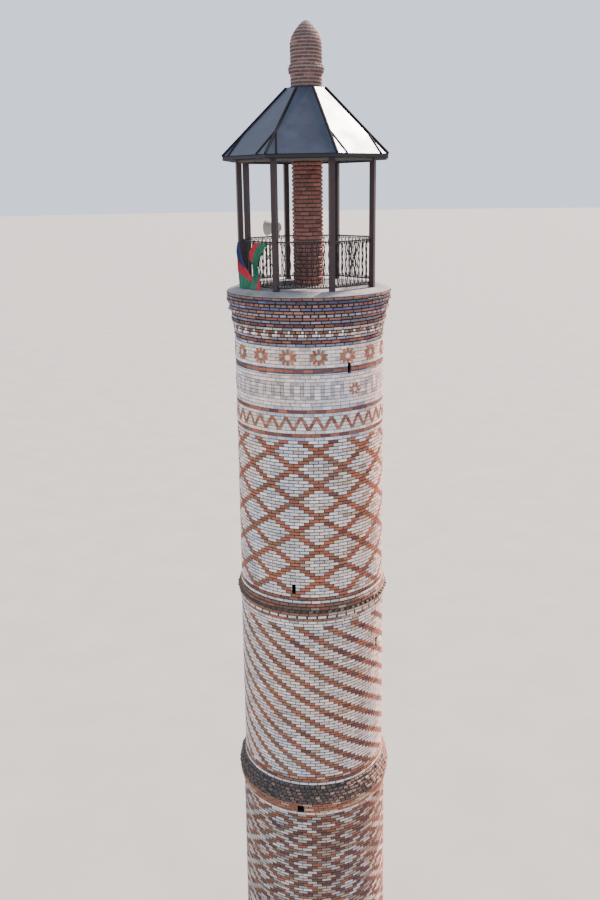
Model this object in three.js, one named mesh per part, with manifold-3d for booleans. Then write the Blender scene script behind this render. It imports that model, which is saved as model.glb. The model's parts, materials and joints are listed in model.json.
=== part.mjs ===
import * as THREE from 'three';
import { mergeVertices } from 'three/addons/utils/BufferGeometryUtils.js';
import { ConvexGeometry } from 'three/addons/geometries/ConvexGeometry.js';
import Module from 'manifold-3d';

// A brick minaret, built from the ground up. Millimetres, +Z up, origin at the middle of the foot.
// Bearings are in degrees around the tower: 0 looks out along -Y, and 90 along +X.

// Driving sizes: the brick coursing sets every height
const COURSE = 70;
const SEAT_GAP = 0.3;
const WALL_SIDES = 48;
const BORE_RADIUS = 1100;
const FOOT_RADIUS = 1761;

const PLINTH_TOP = 545;
const PLINTH_PROJECTION = 90;
const BASE_TOP = PLINTH_TOP + 27 * COURSE;
const THIRD_RING_TOP = BASE_TOP + 949;
const THIRD_TIER_TOP = THIRD_RING_TOP + 57 * COURSE;
const SECOND_RING_TOP = THIRD_TIER_TOP + 949;
const SECOND_TIER_MIDDLE = SECOND_RING_TOP + 40 * COURSE;
const SECOND_TIER_TOP = SECOND_RING_TOP + 54 * COURSE;
const FIRST_RING_TOP = SECOND_TIER_TOP + 609;
const FIRST_TIER_TOP = FIRST_RING_TOP + 76 * COURSE;
const CORNICE_TOP = 19000;

// The shaft's radius at some heights. It narrows within each tier and steps back at each ring.
const SHAFT = [
  [0, FOOT_RADIUS], [THIRD_TIER_TOP, 1690], [SECOND_RING_TOP, 1631],
  [SECOND_TIER_TOP, 1611], [FIRST_RING_TOP, 1590], [FIRST_TIER_TOP, 1561],
];

// Ring mouldings: how far they stand out, and their outline as shares of height and projection
const LOWER_RING = { projection: 108, bulgeHeight: 760, foot: 0 };
const UPPER_RING = { projection: 57, bulgeHeight: 490, foot: 35 };
const RING_OUTLINE = [[0, 0], [0.12, 0.4], [0.36, 0.85], [0.6, 1], [0.84, 0.72], [1, 0.1]];

// Cornice: steps of the brick courses, as share of height and outer radius
const CORNICE_STEPS = [[0.27, 1582], [0.4, 1618], [0.67, 1671], [1, 1704]];

// The doorway's pointed arch: each half is one curve pulled towards a point above the springing
const DOOR = { width: 740, springing: 1560, apex: 1960, shoulder: 250 };

// Light slits and one square hole. Each is cut square to the front or to the side.
const SLIT_WIDTH = 70;
const SLIT_HEIGHT = 3 * COURSE;
const OPENINGS = [
  { tier: 'tier_1_front', bearing: 30, bottom: FIRST_TIER_TOP - 8 * COURSE },
  { tier: 'tier_1_front', bearing: -14.7, bottom: FIRST_RING_TOP + COURSE },
  { tier: 'tier_1_back', bearing: 165, bottom: FIRST_RING_TOP + 35 * COURSE },
  { tier: 'tier_2_upper_right', bearing: 61.2, bottom: SECOND_TIER_MIDDLE },
  { tier: 'tier_2_lower_left', bearing: -168, bottom: SECOND_RING_TOP + 22 * COURSE },
  { tier: 'ring_2_left', bearing: -11.4, bottom: THIRD_TIER_TOP + COURSE, width: 140 },
  { tier: 'tier_3_back', bearing: 172, bottom: THIRD_RING_TOP + 24 * COURSE },
];

// The lantern on top
const COLUMN_RADIUS = 311;
const COLUMN_SIDES = 24;
const FLOOR_TOP = CORNICE_TOP + 80;
const SLAB = { radius: 1560, seat: 100, crown: 1500, rim: 1692, rimHeight: 14 };
const HATCH = { inner: 340, outer: 1050, from: -165, to: -72 };
const POST_COUNT = 8;
const HALF_BAY = 180 / POST_COUNT;
const POST_WIDTH = 100;
const POST_CIRCLE = 1420;
const FIRST_POST_BEARING = -27;
const SOFFIT_BOTTOM = 21543;
const SOFFIT_THICKNESS = 20;
const BEAM_HEIGHT = 36;
const BEAM_WIDTH = 80;
const FASCIA_HEIGHT = 80;
const EAVE_RADIUS = 1738;
const ROOF_TOP = 22883;
const ROOF_TOP_RADIUS = 410;
const FASCIA_THICKNESS = 25;
const ROOF_THICKNESS = 35;

// Railing panels between the posts
const RAIL_DEPTH = 16;
const RAIL = { foot: 55, top: 950, bar: 18, frieze: 78, rings: 9, lozenges: 7 };

// Finial outline: height above the roof's top, and radius
const FINIAL_OUTLINE = [
  [0, 311], [220, 311], [265, 330], [310, 354], [375, 356], [415, 335], [450, 314],
  [800, 314], [905, 292], [1020, 235], [1120, 155], [1190, 90], [1240, 0],
];

// Horn: its closed rear stands over the railing, and its bell flares out to the mouth
const HORN = {
  rear: [-597, 1207, 20200], bearing: -118, length: 318, mouthRadius: 185, bellRadius: 149, bellDepth: 85,
  throatRadius: 104, wall: 14, cavity: 170, crown: 30, sides: 16,
};
const HORN_STEM = { width: 30, offset: [-20, -9] };

const wasm = await Module();
wasm.setup();

const material = (color, roughness, metalness = 0) =>
  new THREE.MeshStandardMaterial({ color, roughness, metalness });
const MATERIALS = {
  stone: material(0x9a958c, 0.9),
  brick: material(0xb98a78, 0.9),
  redBrick: material(0x7d463c, 0.9),
  concrete: material(0x8b8d8e, 0.9),
  tube: material(0x41353a, 0.5, 0.6),
  iron: material(0x1c1d20, 0.5, 0.6),
  roof: material(0x4c5566, 0.35, 0.8),
  soffit: material(0x353944, 0.6),
  horn: material(0x8f9396, 0.6),
  cloth: material(0x1f7a55, 0.9),
};

const minaret = new THREE.Group();
minaret.name = 'minaret';

function solidOf(geometry) {
  const bare = geometry.index ? geometry.toNonIndexed() : geometry.clone();
  bare.deleteAttribute('normal');
  bare.deleteAttribute('uv');
  const merged = mergeVertices(bare, 0.001);
  return new wasm.Manifold(new wasm.Mesh({
    numProp: 3,
    vertProperties: new Float32Array(merged.attributes.position.array),
    triVerts: new Uint32Array(merged.index.array),
  }));
}

function geometryOf(solid) {
  const mesh = solid.getMesh();
  const geometry = new THREE.BufferGeometry();
  geometry.setAttribute('position', new THREE.BufferAttribute(mesh.vertProperties, 3));
  geometry.setIndex(new THREE.BufferAttribute(mesh.triVerts, 1));
  geometry.computeVertexNormals();
  return geometry;
}

function addPiece(name, solid, finish) {
  const mesh = new THREE.Mesh(geometryOf(solid), MATERIALS[finish]);
  mesh.name = name;
  minaret.add(mesh);
}

const radians = THREE.MathUtils.degToRad;

function shaftRadius(z) {
  const next = SHAFT.findIndex(([height], i) => i > 0 && z <= height);
  const [[low, lowRadius], [high, highRadius]] = SHAFT.slice(next - 1, next + 1);
  return lowRadius + ((highRadius - lowRadius) * (z - low)) / (high - low);
}

const onCircle = (bearing, radius) =>
  new THREE.Vector2(radius * Math.sin(radians(bearing)), -radius * Math.cos(radians(bearing)));

// A round wall from its outline of [radius, z] points. It is turned by half a facet, so that the planes
// that split it in two pass through the middle of a facet.
function revolve(outline, sides = WALL_SIDES) {
  const profile = outline.map(([radius, z]) => new THREE.Vector2(radius, z));
  const lathe = new THREE.LatheGeometry(profile, sides);
  lathe.rotateX(Math.PI / 2);
  lathe.rotateZ(Math.PI / sides);
  return solidOf(lathe);
}

function block(sizeX, sizeY, sizeZ, x, y, z) {
  const box = new THREE.BoxGeometry(sizeX, sizeY, sizeZ);
  box.translate(x, y, z);
  return solidOf(box);
}

// A prism over a plan outline, from one height to another
function prism(points, bottom, top, holes = []) {
  const plan = new THREE.Shape(points);
  plan.holes = holes.map((hole) => new THREE.Path(hole));
  const extruded = new THREE.ExtrudeGeometry(plan, { depth: top - bottom, bevelEnabled: false });
  extruded.translate(0, 0, bottom);
  return solidOf(extruded);
}

function polygon(radius, sides, firstBearing) {
  return Array.from({ length: sides }, (_, i) => onCircle(firstBearing + (i * 360) / sides, radius));
}

// Half of the tower's plan, kept back from the split by half a seat gap
function halfSpace(side) {
  const reach = 3000;
  const height = 20000;
  const below = 10;
  const shift = reach / 2 + SEAT_GAP / 2;
  const shifts = { left: [-shift, 0], right: [shift, 0], front: [0, -shift], back: [0, shift] };
  const [x, y] = shifts[side];
  const sizeX = y === 0 ? reach : 2 * reach;
  const sizeY = x === 0 ? reach : 2 * reach;
  return block(sizeX, sizeY, height, x, y, height / 2 - below);
}

function openingCutter({ bearing, bottom, width = SLIT_WIDTH, height = SLIT_HEIGHT }) {
  const reach = 1400;
  const outside = 300;
  const middle = onCircle(bearing, shaftRadius(bottom));
  const sideways = Math.abs(middle.x) > Math.abs(middle.y);
  const inward = sideways ? -Math.sign(middle.x) : -Math.sign(middle.y);
  const offset = inward * (reach / 2 - outside);
  return sideways
    ? block(reach, width, height, middle.x + offset, middle.y, bottom + height / 2)
    : block(width, reach, height, middle.x, middle.y + offset, bottom + height / 2);
}

// Walls: each ring of masonry is made whole, split in two, and pierced
function addRing(name, outline, sides, finish, cutter) {
  const whole = revolve(outline);
  for (const side of sides) {
    const pieceName = `${name}_${side}`;
    let piece = whole.intersect(halfSpace(side));
    for (const opening of OPENINGS.filter((item) => item.tier === pieceName)) {
      piece = piece.subtract(openingCutter(opening));
    }
    if (cutter) {
      piece = piece.subtract(cutter);
    }
    addPiece(pieceName, piece, finish);
  }
}

const closed = (outline) => [...outline, outline[0]];

function tierOutline(bottom, top) {
  const seat = top - SEAT_GAP;
  return closed([
    [BORE_RADIUS, bottom], [shaftRadius(bottom), bottom], [shaftRadius(seat), seat], [BORE_RADIUS, seat],
  ]);
}

function ringOutline(bottom, top, { projection, bulgeHeight, foot }) {
  const seat = top - SEAT_GAP;
  const bulge = RING_OUTLINE.map(([rise, share]) => {
    const z = bottom + foot + rise * bulgeHeight;
    return [shaftRadius(z) + share * projection, z];
  });
  const below = foot > 0 ? [[shaftRadius(bottom), bottom]] : [];
  const lip = bottom + foot + bulgeHeight + COURSE / 2;
  return closed([
    [BORE_RADIUS, bottom], ...below, ...bulge,
    [shaftRadius(lip), lip], [shaftRadius(seat), seat], [BORE_RADIUS, seat],
  ]);
}

function corniceOutline() {
  const height = CORNICE_TOP - FIRST_TIER_TOP;
  const rebate = CORNICE_TOP - SLAB.seat - SEAT_GAP;
  const outline = [[BORE_RADIUS, FIRST_TIER_TOP], [shaftRadius(FIRST_TIER_TOP), FIRST_TIER_TOP]];
  let radius = shaftRadius(FIRST_TIER_TOP);
  for (const [share, next] of CORNICE_STEPS) {
    const z = FIRST_TIER_TOP + share * height;
    outline.push([radius, z - (share < 1 ? COURSE : 3 * COURSE)]);
    outline.push([next, z - (share < 1 ? COURSE : 3 * COURSE) + COURSE / 3]);
    radius = next;
  }
  outline.push([radius, CORNICE_TOP], [SLAB.radius + SEAT_GAP, CORNICE_TOP]);
  outline.push([SLAB.radius + SEAT_GAP, rebate], [BORE_RADIUS, rebate]);
  return closed(outline);
}

// The pointed door opening, as a cutter that reaches from the outside into the bore
function doorCutter() {
  const half = DOOR.width / 2;
  const shoulder = DOOR.springing + DOOR.shoulder;
  const nearest = 600;
  const depth = 1400;
  const opening = new THREE.Shape();
  opening.moveTo(-half, -COURSE);
  opening.lineTo(half, -COURSE);
  opening.lineTo(half, DOOR.springing);
  opening.quadraticCurveTo(half, shoulder, 0, DOOR.apex);
  opening.quadraticCurveTo(-half, shoulder, -half, DOOR.springing);
  const cut = new THREE.ExtrudeGeometry(opening, { depth, bevelEnabled: false, curveSegments: 5 });
  cut.rotateX(Math.PI / 2);
  cut.translate(0, -nearest, 0);
  return solidOf(cut);
}

function addBase() {
  const plinthRadius = FOOT_RADIUS + PLINTH_PROJECTION;
  const seat = PLINTH_TOP - SEAT_GAP;
  const plinth = closed([
    [BORE_RADIUS, 0], [plinthRadius, 0], [plinthRadius, PLINTH_TOP - COURSE],
    [shaftRadius(PLINTH_TOP), seat], [BORE_RADIUS, seat],
  ]);
  const depth = 2000;
  const middle = -1500;
  const gap = block(DOOR.width, depth, 2 * BASE_TOP, 0, middle, BASE_TOP);
  addRing('plinth', plinth, ['left', 'right'], 'stone', gap);
  addRing('base', tierOutline(PLINTH_TOP, BASE_TOP), ['left', 'right'], 'brick', gap);

  const fill = block(DOOR.width - 2 * SEAT_GAP, depth, BASE_TOP, 0, middle, BASE_TOP);
  const head = revolve(tierOutline(DOOR.springing, BASE_TOP)).intersect(fill);
  addPiece('door_head', head.subtract(doorCutter()), 'brick');
}

function addShaft() {
  addRing('ring_3', ringOutline(BASE_TOP, THIRD_RING_TOP, LOWER_RING), ['left', 'right'], 'brick');
  addRing('tier_3', tierOutline(THIRD_RING_TOP, THIRD_TIER_TOP), ['front', 'back'], 'brick');
  addRing('ring_2', ringOutline(THIRD_TIER_TOP, SECOND_RING_TOP, LOWER_RING), ['left', 'right'], 'brick');
  addRing('tier_2_lower', tierOutline(SECOND_RING_TOP, SECOND_TIER_MIDDLE), ['left', 'right'], 'brick');
  addRing('tier_2_upper', tierOutline(SECOND_TIER_MIDDLE, SECOND_TIER_TOP), ['left', 'right'], 'brick');
  addRing('ring_1', ringOutline(SECOND_TIER_TOP, FIRST_RING_TOP, UPPER_RING), ['left', 'right'], 'brick');
  addRing('tier_1', tierOutline(FIRST_RING_TOP, FIRST_TIER_TOP), ['front', 'back'], 'brick');
  addRing('cornice', corniceOutline(), ['left', 'right'], 'brick');
}

// The middle column stands on the ground, passes the platform and carries the finial
function addColumn() {
  const column = prism(polygon(COLUMN_RADIUS, COLUMN_SIDES, 0), 0, ROOF_TOP - SEAT_GAP);
  addPiece('central_column', column, 'redBrick');
  const finial = FINIAL_OUTLINE.map(([rise, radius]) => [radius, ROOF_TOP + rise]);
  addPiece('finial', revolve([[0, ROOF_TOP], ...finial], COLUMN_SIDES), 'redBrick');
}

function hatchPlan() {
  const steps = 6;
  const bearings = Array.from({ length: steps + 1 }, (_, i) =>
    HATCH.from + ((HATCH.to - HATCH.from) * i) / steps);
  const outer = bearings.map((bearing) => onCircle(bearing, HATCH.outer));
  const inner = bearings.map((bearing) => onCircle(bearing, HATCH.inner)).reverse();
  return [...outer, ...inner];
}

// The slab is let into the cornice, and its top slopes down to the rim all round
function addPlatform() {
  const bottom = CORNICE_TOP - SLAB.seat;
  const lap = CORNICE_TOP + SEAT_GAP;
  const disc = revolve(closed([
    [0, bottom], [SLAB.radius, bottom], [SLAB.radius, lap], [SLAB.rim, lap],
    [SLAB.rim, CORNICE_TOP + SLAB.rimHeight], [SLAB.crown, FLOOR_TOP], [0, FLOOR_TOP],
  ]));
  const passage = polygon(COLUMN_RADIUS + SEAT_GAP, COLUMN_SIDES, 0);
  const openings = [passage, hatchPlan()].map((plan) => prism(plan, bottom - COURSE, FLOOR_TOP + COURSE));
  addPiece('platform_slab', disc.subtract(openings[0]).subtract(openings[1]), 'concrete');
}

function addPosts() {
  const bottom = FLOOR_TOP + SEAT_GAP;
  const height = SOFFIT_BOTTOM - BEAM_HEIGHT - SEAT_GAP - bottom;
  for (let i = 0; i < POST_COUNT; i += 1) {
    const bearing = FIRST_POST_BEARING + (i * 360) / POST_COUNT;
    const post = new THREE.BoxGeometry(POST_WIDTH, POST_WIDTH, height);
    post.rotateZ(radians(bearing));
    const foot = onCircle(bearing, POST_CIRCLE);
    post.translate(foot.x, foot.y, bottom + height / 2);
    addPiece(`post_${i + 1}`, solidOf(post), 'tube');
  }
}

// One flat railing panel in its own plane: x along the bay and y upwards
function railingShape(width) {
  const half = width / 2;
  const { foot, top, bar, frieze, rings, lozenges } = RAIL;
  const panel = new THREE.Shape([
    new THREE.Vector2(-half, foot), new THREE.Vector2(half, foot),
    new THREE.Vector2(half, top), new THREE.Vector2(-half, top),
  ]);
  const cutHole = (x, y, halfWidth, halfHeight, shoulder) => {
    panel.holes.push(new THREE.Path([
      new THREE.Vector2(x - halfWidth, y - shoulder), new THREE.Vector2(x, y - halfHeight),
      new THREE.Vector2(x + halfWidth, y - shoulder), new THREE.Vector2(x + halfWidth, y + shoulder),
      new THREE.Vector2(x, y + halfHeight), new THREE.Vector2(x - halfWidth, y + shoulder),
    ]));
  };
  const inner = width - 2 * bar;
  const ringPitch = inner / rings;
  for (let i = 0; i < rings; i += 1) {
    const x = -inner / 2 + (i + 0.5) * ringPitch;
    const reach = frieze / 2;
    cutHole(x, foot + bar + reach, ringPitch / 2 - bar / 3, reach, reach / 2);
    cutHole(x, top - bar - reach, ringPitch / 2 - bar / 3, reach, reach / 2);
  }
  const low = foot + 2 * bar + frieze;
  const high = top - 2 * bar - frieze;
  const pitch = inner / lozenges;
  for (let i = 0; i < lozenges; i += 1) {
    const x = -inner / 2 + (i + 0.5) * pitch;
    const reach = (high - low) / 2;
    cutHole(x, (low + high) / 2, pitch / 2 - bar / 2, reach, reach * 0.8);
  }
  return panel;
}

function addRailings() {
  const half = radians(HALF_BAY);
  const span = 2 * POST_CIRCLE * Math.sin(half);
  const bite = (POST_WIDTH / 2) / Math.cos(half) + (RAIL_DEPTH / 2) * Math.tan(half);
  const width = span - 2 * (bite + SEAT_GAP);
  for (let i = 0; i < POST_COUNT; i += 1) {
    const bearing = FIRST_POST_BEARING + HALF_BAY + (i * 360) / POST_COUNT;
    const panel = new THREE.ExtrudeGeometry(railingShape(width), { depth: RAIL_DEPTH, bevelEnabled: false });
    panel.translate(0, 0, -RAIL_DEPTH / 2);
    panel.rotateX(Math.PI / 2);
    panel.translate(0, -POST_CIRCLE * Math.cos(half), FLOOR_TOP);
    panel.rotateZ(radians(bearing));
    addPiece(`railing_${i + 1}`, solidOf(panel), 'iron');
  }
}

// A horn that opens away from the tower, with the stem that stands on the rail
function addHorn() {
  const { rear, bearing, length, mouthRadius, bellRadius, bellDepth, throatRadius, wall, cavity,
    crown, sides } = HORN;
  const bell = length - bellDepth;
  const throat = length - cavity;
  const profile = [
    [0, 0], [throatRadius * 0.8, 0], [throatRadius, crown], [throatRadius * 1.1, throat],
    [bellRadius, bell], [mouthRadius, length], [mouthRadius - wall, length], [bellRadius - wall, bell],
    [throatRadius, throat + wall], [0, throat + wall],
  ].map(([radius, along]) => new THREE.Vector2(radius, along));
  const horn = new THREE.LatheGeometry(profile, sides);
  horn.rotateZ(Math.PI);
  horn.rotateZ(radians(bearing));
  horn.translate(...rear);
  const stemBottom = FLOOR_TOP + RAIL.top + SEAT_GAP;
  const { width, offset } = HORN_STEM;
  const stem = block(width, width, rear[2] - stemBottom, rear[0] + offset[0], rear[1] + offset[1],
    (rear[2] + stemBottom) / 2);
  addPiece('horn_speaker', solidOf(horn).add(stem), 'horn');
}

// The flag hangs outside the left front bay in two bunched falls that meet on the platform
function addFlag() {
  const bearing = FIRST_POST_BEARING - HALF_BAY;
  const face = POST_CIRCLE * Math.cos(radians(HALF_BAY)) + RAIL_DEPTH / 2;
  const low = FLOOR_TOP + SEAT_GAP;
  const knee = FLOOR_TOP + 190;
  const waist = FLOOR_TOP + 7 * COURSE;
  const shoulder = FLOOR_TOP + 680;
  const high = FLOOR_TOP + RAIL.top - 30;
  // Level outlines as [height, [from, to] along the bay, [nearest, furthest] from the railing]
  const falls = [
    [[high, [-520, -450], [72, 130]], [waist, [-510, -330], [68, 140]],
      [knee, [-490, -100], [64, 190]], [low, [-450, -190], [60, 200]]],
    [[high, [-50, 310], [2, 60]], [shoulder, [-250, 150], [2, 70]], [waist, [-130, 0], [6, 90]]],
    [[waist, [-130, 0], [6, 90]], [knee, [-190, 110], [12, 150]], [low, [-250, 100], [20, 200]]],
  ];
  const upright = new THREE.Vector3(0, 0, 1);
  const solids = falls.map((levels) => {
    const points = levels.flatMap(([z, places, distances]) =>
      places.flatMap((along) => distances.map((out) => new THREE.Vector3(along, -(face + out), z))));
    points.forEach((point) => point.applyAxisAngle(upright, radians(bearing)));
    return solidOf(new ConvexGeometry(points));
  });
  addPiece('flag', solids.reduce((joined, solid) => joined.add(solid)), 'cloth');
}

function addRoof() {
  const toCorner = 1 / Math.cos(radians(HALF_BAY));
  const beamRadius = POST_CIRCLE + (BEAM_WIDTH / 2) * toCorner;
  const beamBottom = SOFFIT_BOTTOM - BEAM_HEIGHT;
  const beamInner = polygon(beamRadius - BEAM_WIDTH * toCorner, POST_COUNT, FIRST_POST_BEARING);
  const beam = prism(polygon(beamRadius, POST_COUNT, FIRST_POST_BEARING), beamBottom,
    SOFFIT_BOTTOM - SEAT_GAP, [beamInner]);
  addPiece('eave_beam', beam, 'tube');

  const passage = polygon(COLUMN_RADIUS + SEAT_GAP, COLUMN_SIDES, 0);
  const inset = FASCIA_THICKNESS * toCorner;
  const soffitRadius = EAVE_RADIUS - inset - SEAT_GAP;
  const soffitTop = SOFFIT_BOTTOM + SOFFIT_THICKNESS;
  addPiece('soffit', prism(polygon(soffitRadius, POST_COUNT, FIRST_POST_BEARING), SOFFIT_BOTTOM,
    soffitTop, [passage]), 'soffit');

  const eaveTop = SOFFIT_BOTTOM + FASCIA_HEIGHT;
  const outer = frustum(EAVE_RADIUS, SOFFIT_BOTTOM, eaveTop, ROOF_TOP_RADIUS, ROOF_TOP - SEAT_GAP);
  const skin = inset + ROOF_THICKNESS;
  const cavity = frustum(EAVE_RADIUS - skin, soffitTop + SEAT_GAP, eaveTop - FASCIA_THICKNESS,
    ROOF_TOP_RADIUS - skin, ROOF_TOP - ROOF_THICKNESS);
  const recess = prism(polygon(EAVE_RADIUS - inset, POST_COUNT, FIRST_POST_BEARING),
    SOFFIT_BOTTOM - COURSE, soffitTop + SEAT_GAP);
  const chimney = prism(passage, SOFFIT_BOTTOM, ROOF_TOP + COURSE);
  addPiece('roof_shell', outer.subtract(cavity).subtract(recess).subtract(chimney), 'roof');
}

// An eight-sided roof body: upright at the eave and then sloping to a small flat top
function frustum(eaveRadius, bottom, eaveTop, topRadius, top) {
  const levels = [[eaveRadius, bottom], [eaveRadius, eaveTop], [topRadius, top]];
  const corners = levels.flatMap(([radius, z]) =>
    polygon(radius, POST_COUNT, FIRST_POST_BEARING).map((p) => new THREE.Vector3(p.x, p.y, z)));
  return solidOf(new ConvexGeometry(corners));
}

addBase();
addShaft();
addColumn();
addPlatform();
addPosts();
addRailings();
addRoof();
addHorn();
addFlag();

export default minaret;
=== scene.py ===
"""A patterned brick minaret with an open roofed lantern: its bricks, ironwork, sheet roof and cloth."""

import json
import math
from collections import namedtuple

import bmesh
import bpy
import numpy as np
from bpy.props import FloatProperty, FloatVectorProperty, IntProperty, PointerProperty
from mathutils import Matrix, Vector, noise


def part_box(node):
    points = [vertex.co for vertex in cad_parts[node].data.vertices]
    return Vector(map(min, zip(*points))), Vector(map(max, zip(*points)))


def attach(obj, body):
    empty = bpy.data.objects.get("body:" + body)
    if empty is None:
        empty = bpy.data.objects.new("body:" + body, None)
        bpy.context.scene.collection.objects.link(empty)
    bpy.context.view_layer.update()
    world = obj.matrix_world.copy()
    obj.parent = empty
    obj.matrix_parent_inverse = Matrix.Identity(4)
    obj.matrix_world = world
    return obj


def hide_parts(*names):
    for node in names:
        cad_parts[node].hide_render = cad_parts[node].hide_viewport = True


bl_info = {
    "name": "Patterned Brick Minaret",
    "version": (1, 0, 0),
    "blender": (4, 5, 0),
    "location": "View3D > Sidebar > Minaret",
    "description": "Lays the bricks, ironwork, sheet roof and cloth of a minaret around its solid model",
    "category": "Object",
}

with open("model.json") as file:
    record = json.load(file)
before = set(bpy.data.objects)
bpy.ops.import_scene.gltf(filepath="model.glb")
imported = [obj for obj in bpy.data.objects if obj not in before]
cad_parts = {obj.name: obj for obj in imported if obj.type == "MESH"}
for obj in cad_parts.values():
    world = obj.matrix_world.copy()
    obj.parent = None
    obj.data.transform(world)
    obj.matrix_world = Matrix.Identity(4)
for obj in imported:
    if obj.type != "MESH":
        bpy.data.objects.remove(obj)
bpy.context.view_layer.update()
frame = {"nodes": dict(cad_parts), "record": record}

# The walls, from the ground up, and the solids that each is split into
WALLS = {
    "plinth": ("plinth_left", "plinth_right"),
    "base": ("base_left", "base_right", "door_head"),
    "ring_3": ("ring_3_left", "ring_3_right"),
    "tier_3": ("tier_3_front", "tier_3_back"),
    "ring_2": ("ring_2_left", "ring_2_right"),
    "tier_2": ("tier_2_lower_left", "tier_2_lower_right", "tier_2_upper_left", "tier_2_upper_right"),
    "ring_1": ("ring_1_left", "ring_1_right"),
    "tier_1": ("tier_1_front", "tier_1_back"),
    "cornice": ("cornice_left", "cornice_right"),
}
# Heights of a course of bricks with its mortar bed, and the length of a brick
COURSE = 0.07
COLUMN_COURSE = 0.08
FINIAL_COURSE = 0.0653
BRICK_LENGTH = 0.19
# Radius of the bore, and the least thickness of the walls round it
INNER_FACE = 1.1
WALL_THICKNESS_LEAST = 0.25
# The doorway's pointed arch: the height it springs from, its rise, the rise of the point that each side
# bends towards, and the width of the stones round it
DOOR_SPRINGING = 1.56
DOOR_RISE = 0.4
DOOR_SHOULDER = 0.25
VOUSSOIR = 0.13
# Sides of the lantern, each between two posts
SIDES = 8

# Bearings are in degrees round the tower: 0 looks out along -Y, towards the camera, and 90 along +X
SUNNY_BEARING = 137
SLAB_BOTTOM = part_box("platform_slab")[0].z
COLUMN_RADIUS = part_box("central_column")[1].x
ROOF_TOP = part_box("finial")[0].z
DOOR_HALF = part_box("base_right")[0].x


def bearing_of(x, y):
    return math.degrees(math.atan2(x, -y))


def outward(bearing):
    angle = math.radians(bearing)
    return Vector((math.sin(angle), -math.cos(angle), 0))


def sideways(bearing):
    angle = math.radians(bearing)
    return Vector((math.cos(angle), math.sin(angle), 0))


def middle_of(node):
    low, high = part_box(node)
    return (low + high) / 2


def node_bearing(node):
    middle = middle_of(node)
    return bearing_of(middle.x, middle.y)


def post_bearing(number):
    return node_bearing(f"post_{number}")


def node_points(node):
    return [vertex.co for vertex in frame["nodes"][node].data.vertices]


SEAT_RADIUS = max(p.xy.length for p in node_points("platform_slab") if p.z < SLAB_BOTTOM + 0.001)


def is_in_rebate(point):
    """Whether a corner of the cornice belongs to the seat that the platform is let into"""
    return point.z > SLAB_BOTTOM - 0.01 and point.xy.length < SEAT_RADIUS + 0.004


def outer_profile(nodes, least=COLUMN_RADIUS - 0.001):
    """Heights and outer radii of a round wall, read where its solid has a full ring of corners"""
    full_ring, tolerance = 20, 0.002
    levels = {}
    for node in nodes:
        for point in node_points(node):
            if point.xy.length > least and not ("cornice" in node and is_in_rebate(point)):
                spot = (round(point.x, 3), round(point.y, 3))
                levels.setdefault(round(point.z, 4), {})[spot] = point.xy.length
    heights, radii = [], []
    for height in sorted(levels):
        widest = max(levels[height].values())
        corners = [radius for radius in levels[height].values() if radius > widest - tolerance]
        if len(corners) >= full_ring:
            heights.append(height)
            radii.append(widest)
    return heights, radii


def radius_at(profile, height):
    return float(np.interp(height, *profile))


def wall_foot(wall):
    return min(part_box(node)[0].z for node in WALLS[wall])


def wall_head(wall):
    return max(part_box(node)[1].z for node in WALLS[wall])


# Settings that a user would change


class MinaretBrickSettings(bpy.types.PropertyGroup):
    """Sizes of the facing bricks and their joints, and how much they vary by chance"""

    joint: FloatProperty(
        name="Joint", description="Width of the upright joints between bricks",
        default=0.0135, min=0.002, max=0.03, unit="LENGTH")
    bed: FloatProperty(
        name="Bed", description="Height of the mortar bed between courses",
        default=0.018, min=0.002, max=0.03, unit="LENGTH")
    recess: FloatProperty(
        name="Recess", description="How far the mortar lies behind the brick faces",
        default=0.016, min=0.002, max=0.04, unit="LENGTH")
    depth: FloatProperty(
        name="Brick depth", description="How far each brick reaches into the wall",
        default=0.045, min=0.02, max=0.2, unit="LENGTH")
    arris: FloatProperty(
        name="Worn arris", description="Width of the worn edges of a brick's face",
        default=0.0035, min=0.001, max=0.01, unit="LENGTH")
    scatter: FloatProperty(
        name="Scatter", description="How far bricks stand in or out by chance",
        default=0.0016, min=0, max=0.01, unit="LENGTH")
    variety: FloatProperty(
        name="Colour variety", description="How much bricks of one finish differ in shade",
        default=0.15, min=0, max=0.5, subtype="FACTOR")
    seed: IntProperty(
        name="Seed", description="Starts the chance variations of the bricks", default=7, min=0)


def colour_property(name, description, default):
    return FloatVectorProperty(
        name=name, description=description, default=default, size=3, min=0, max=1, subtype="COLOR")


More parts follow.
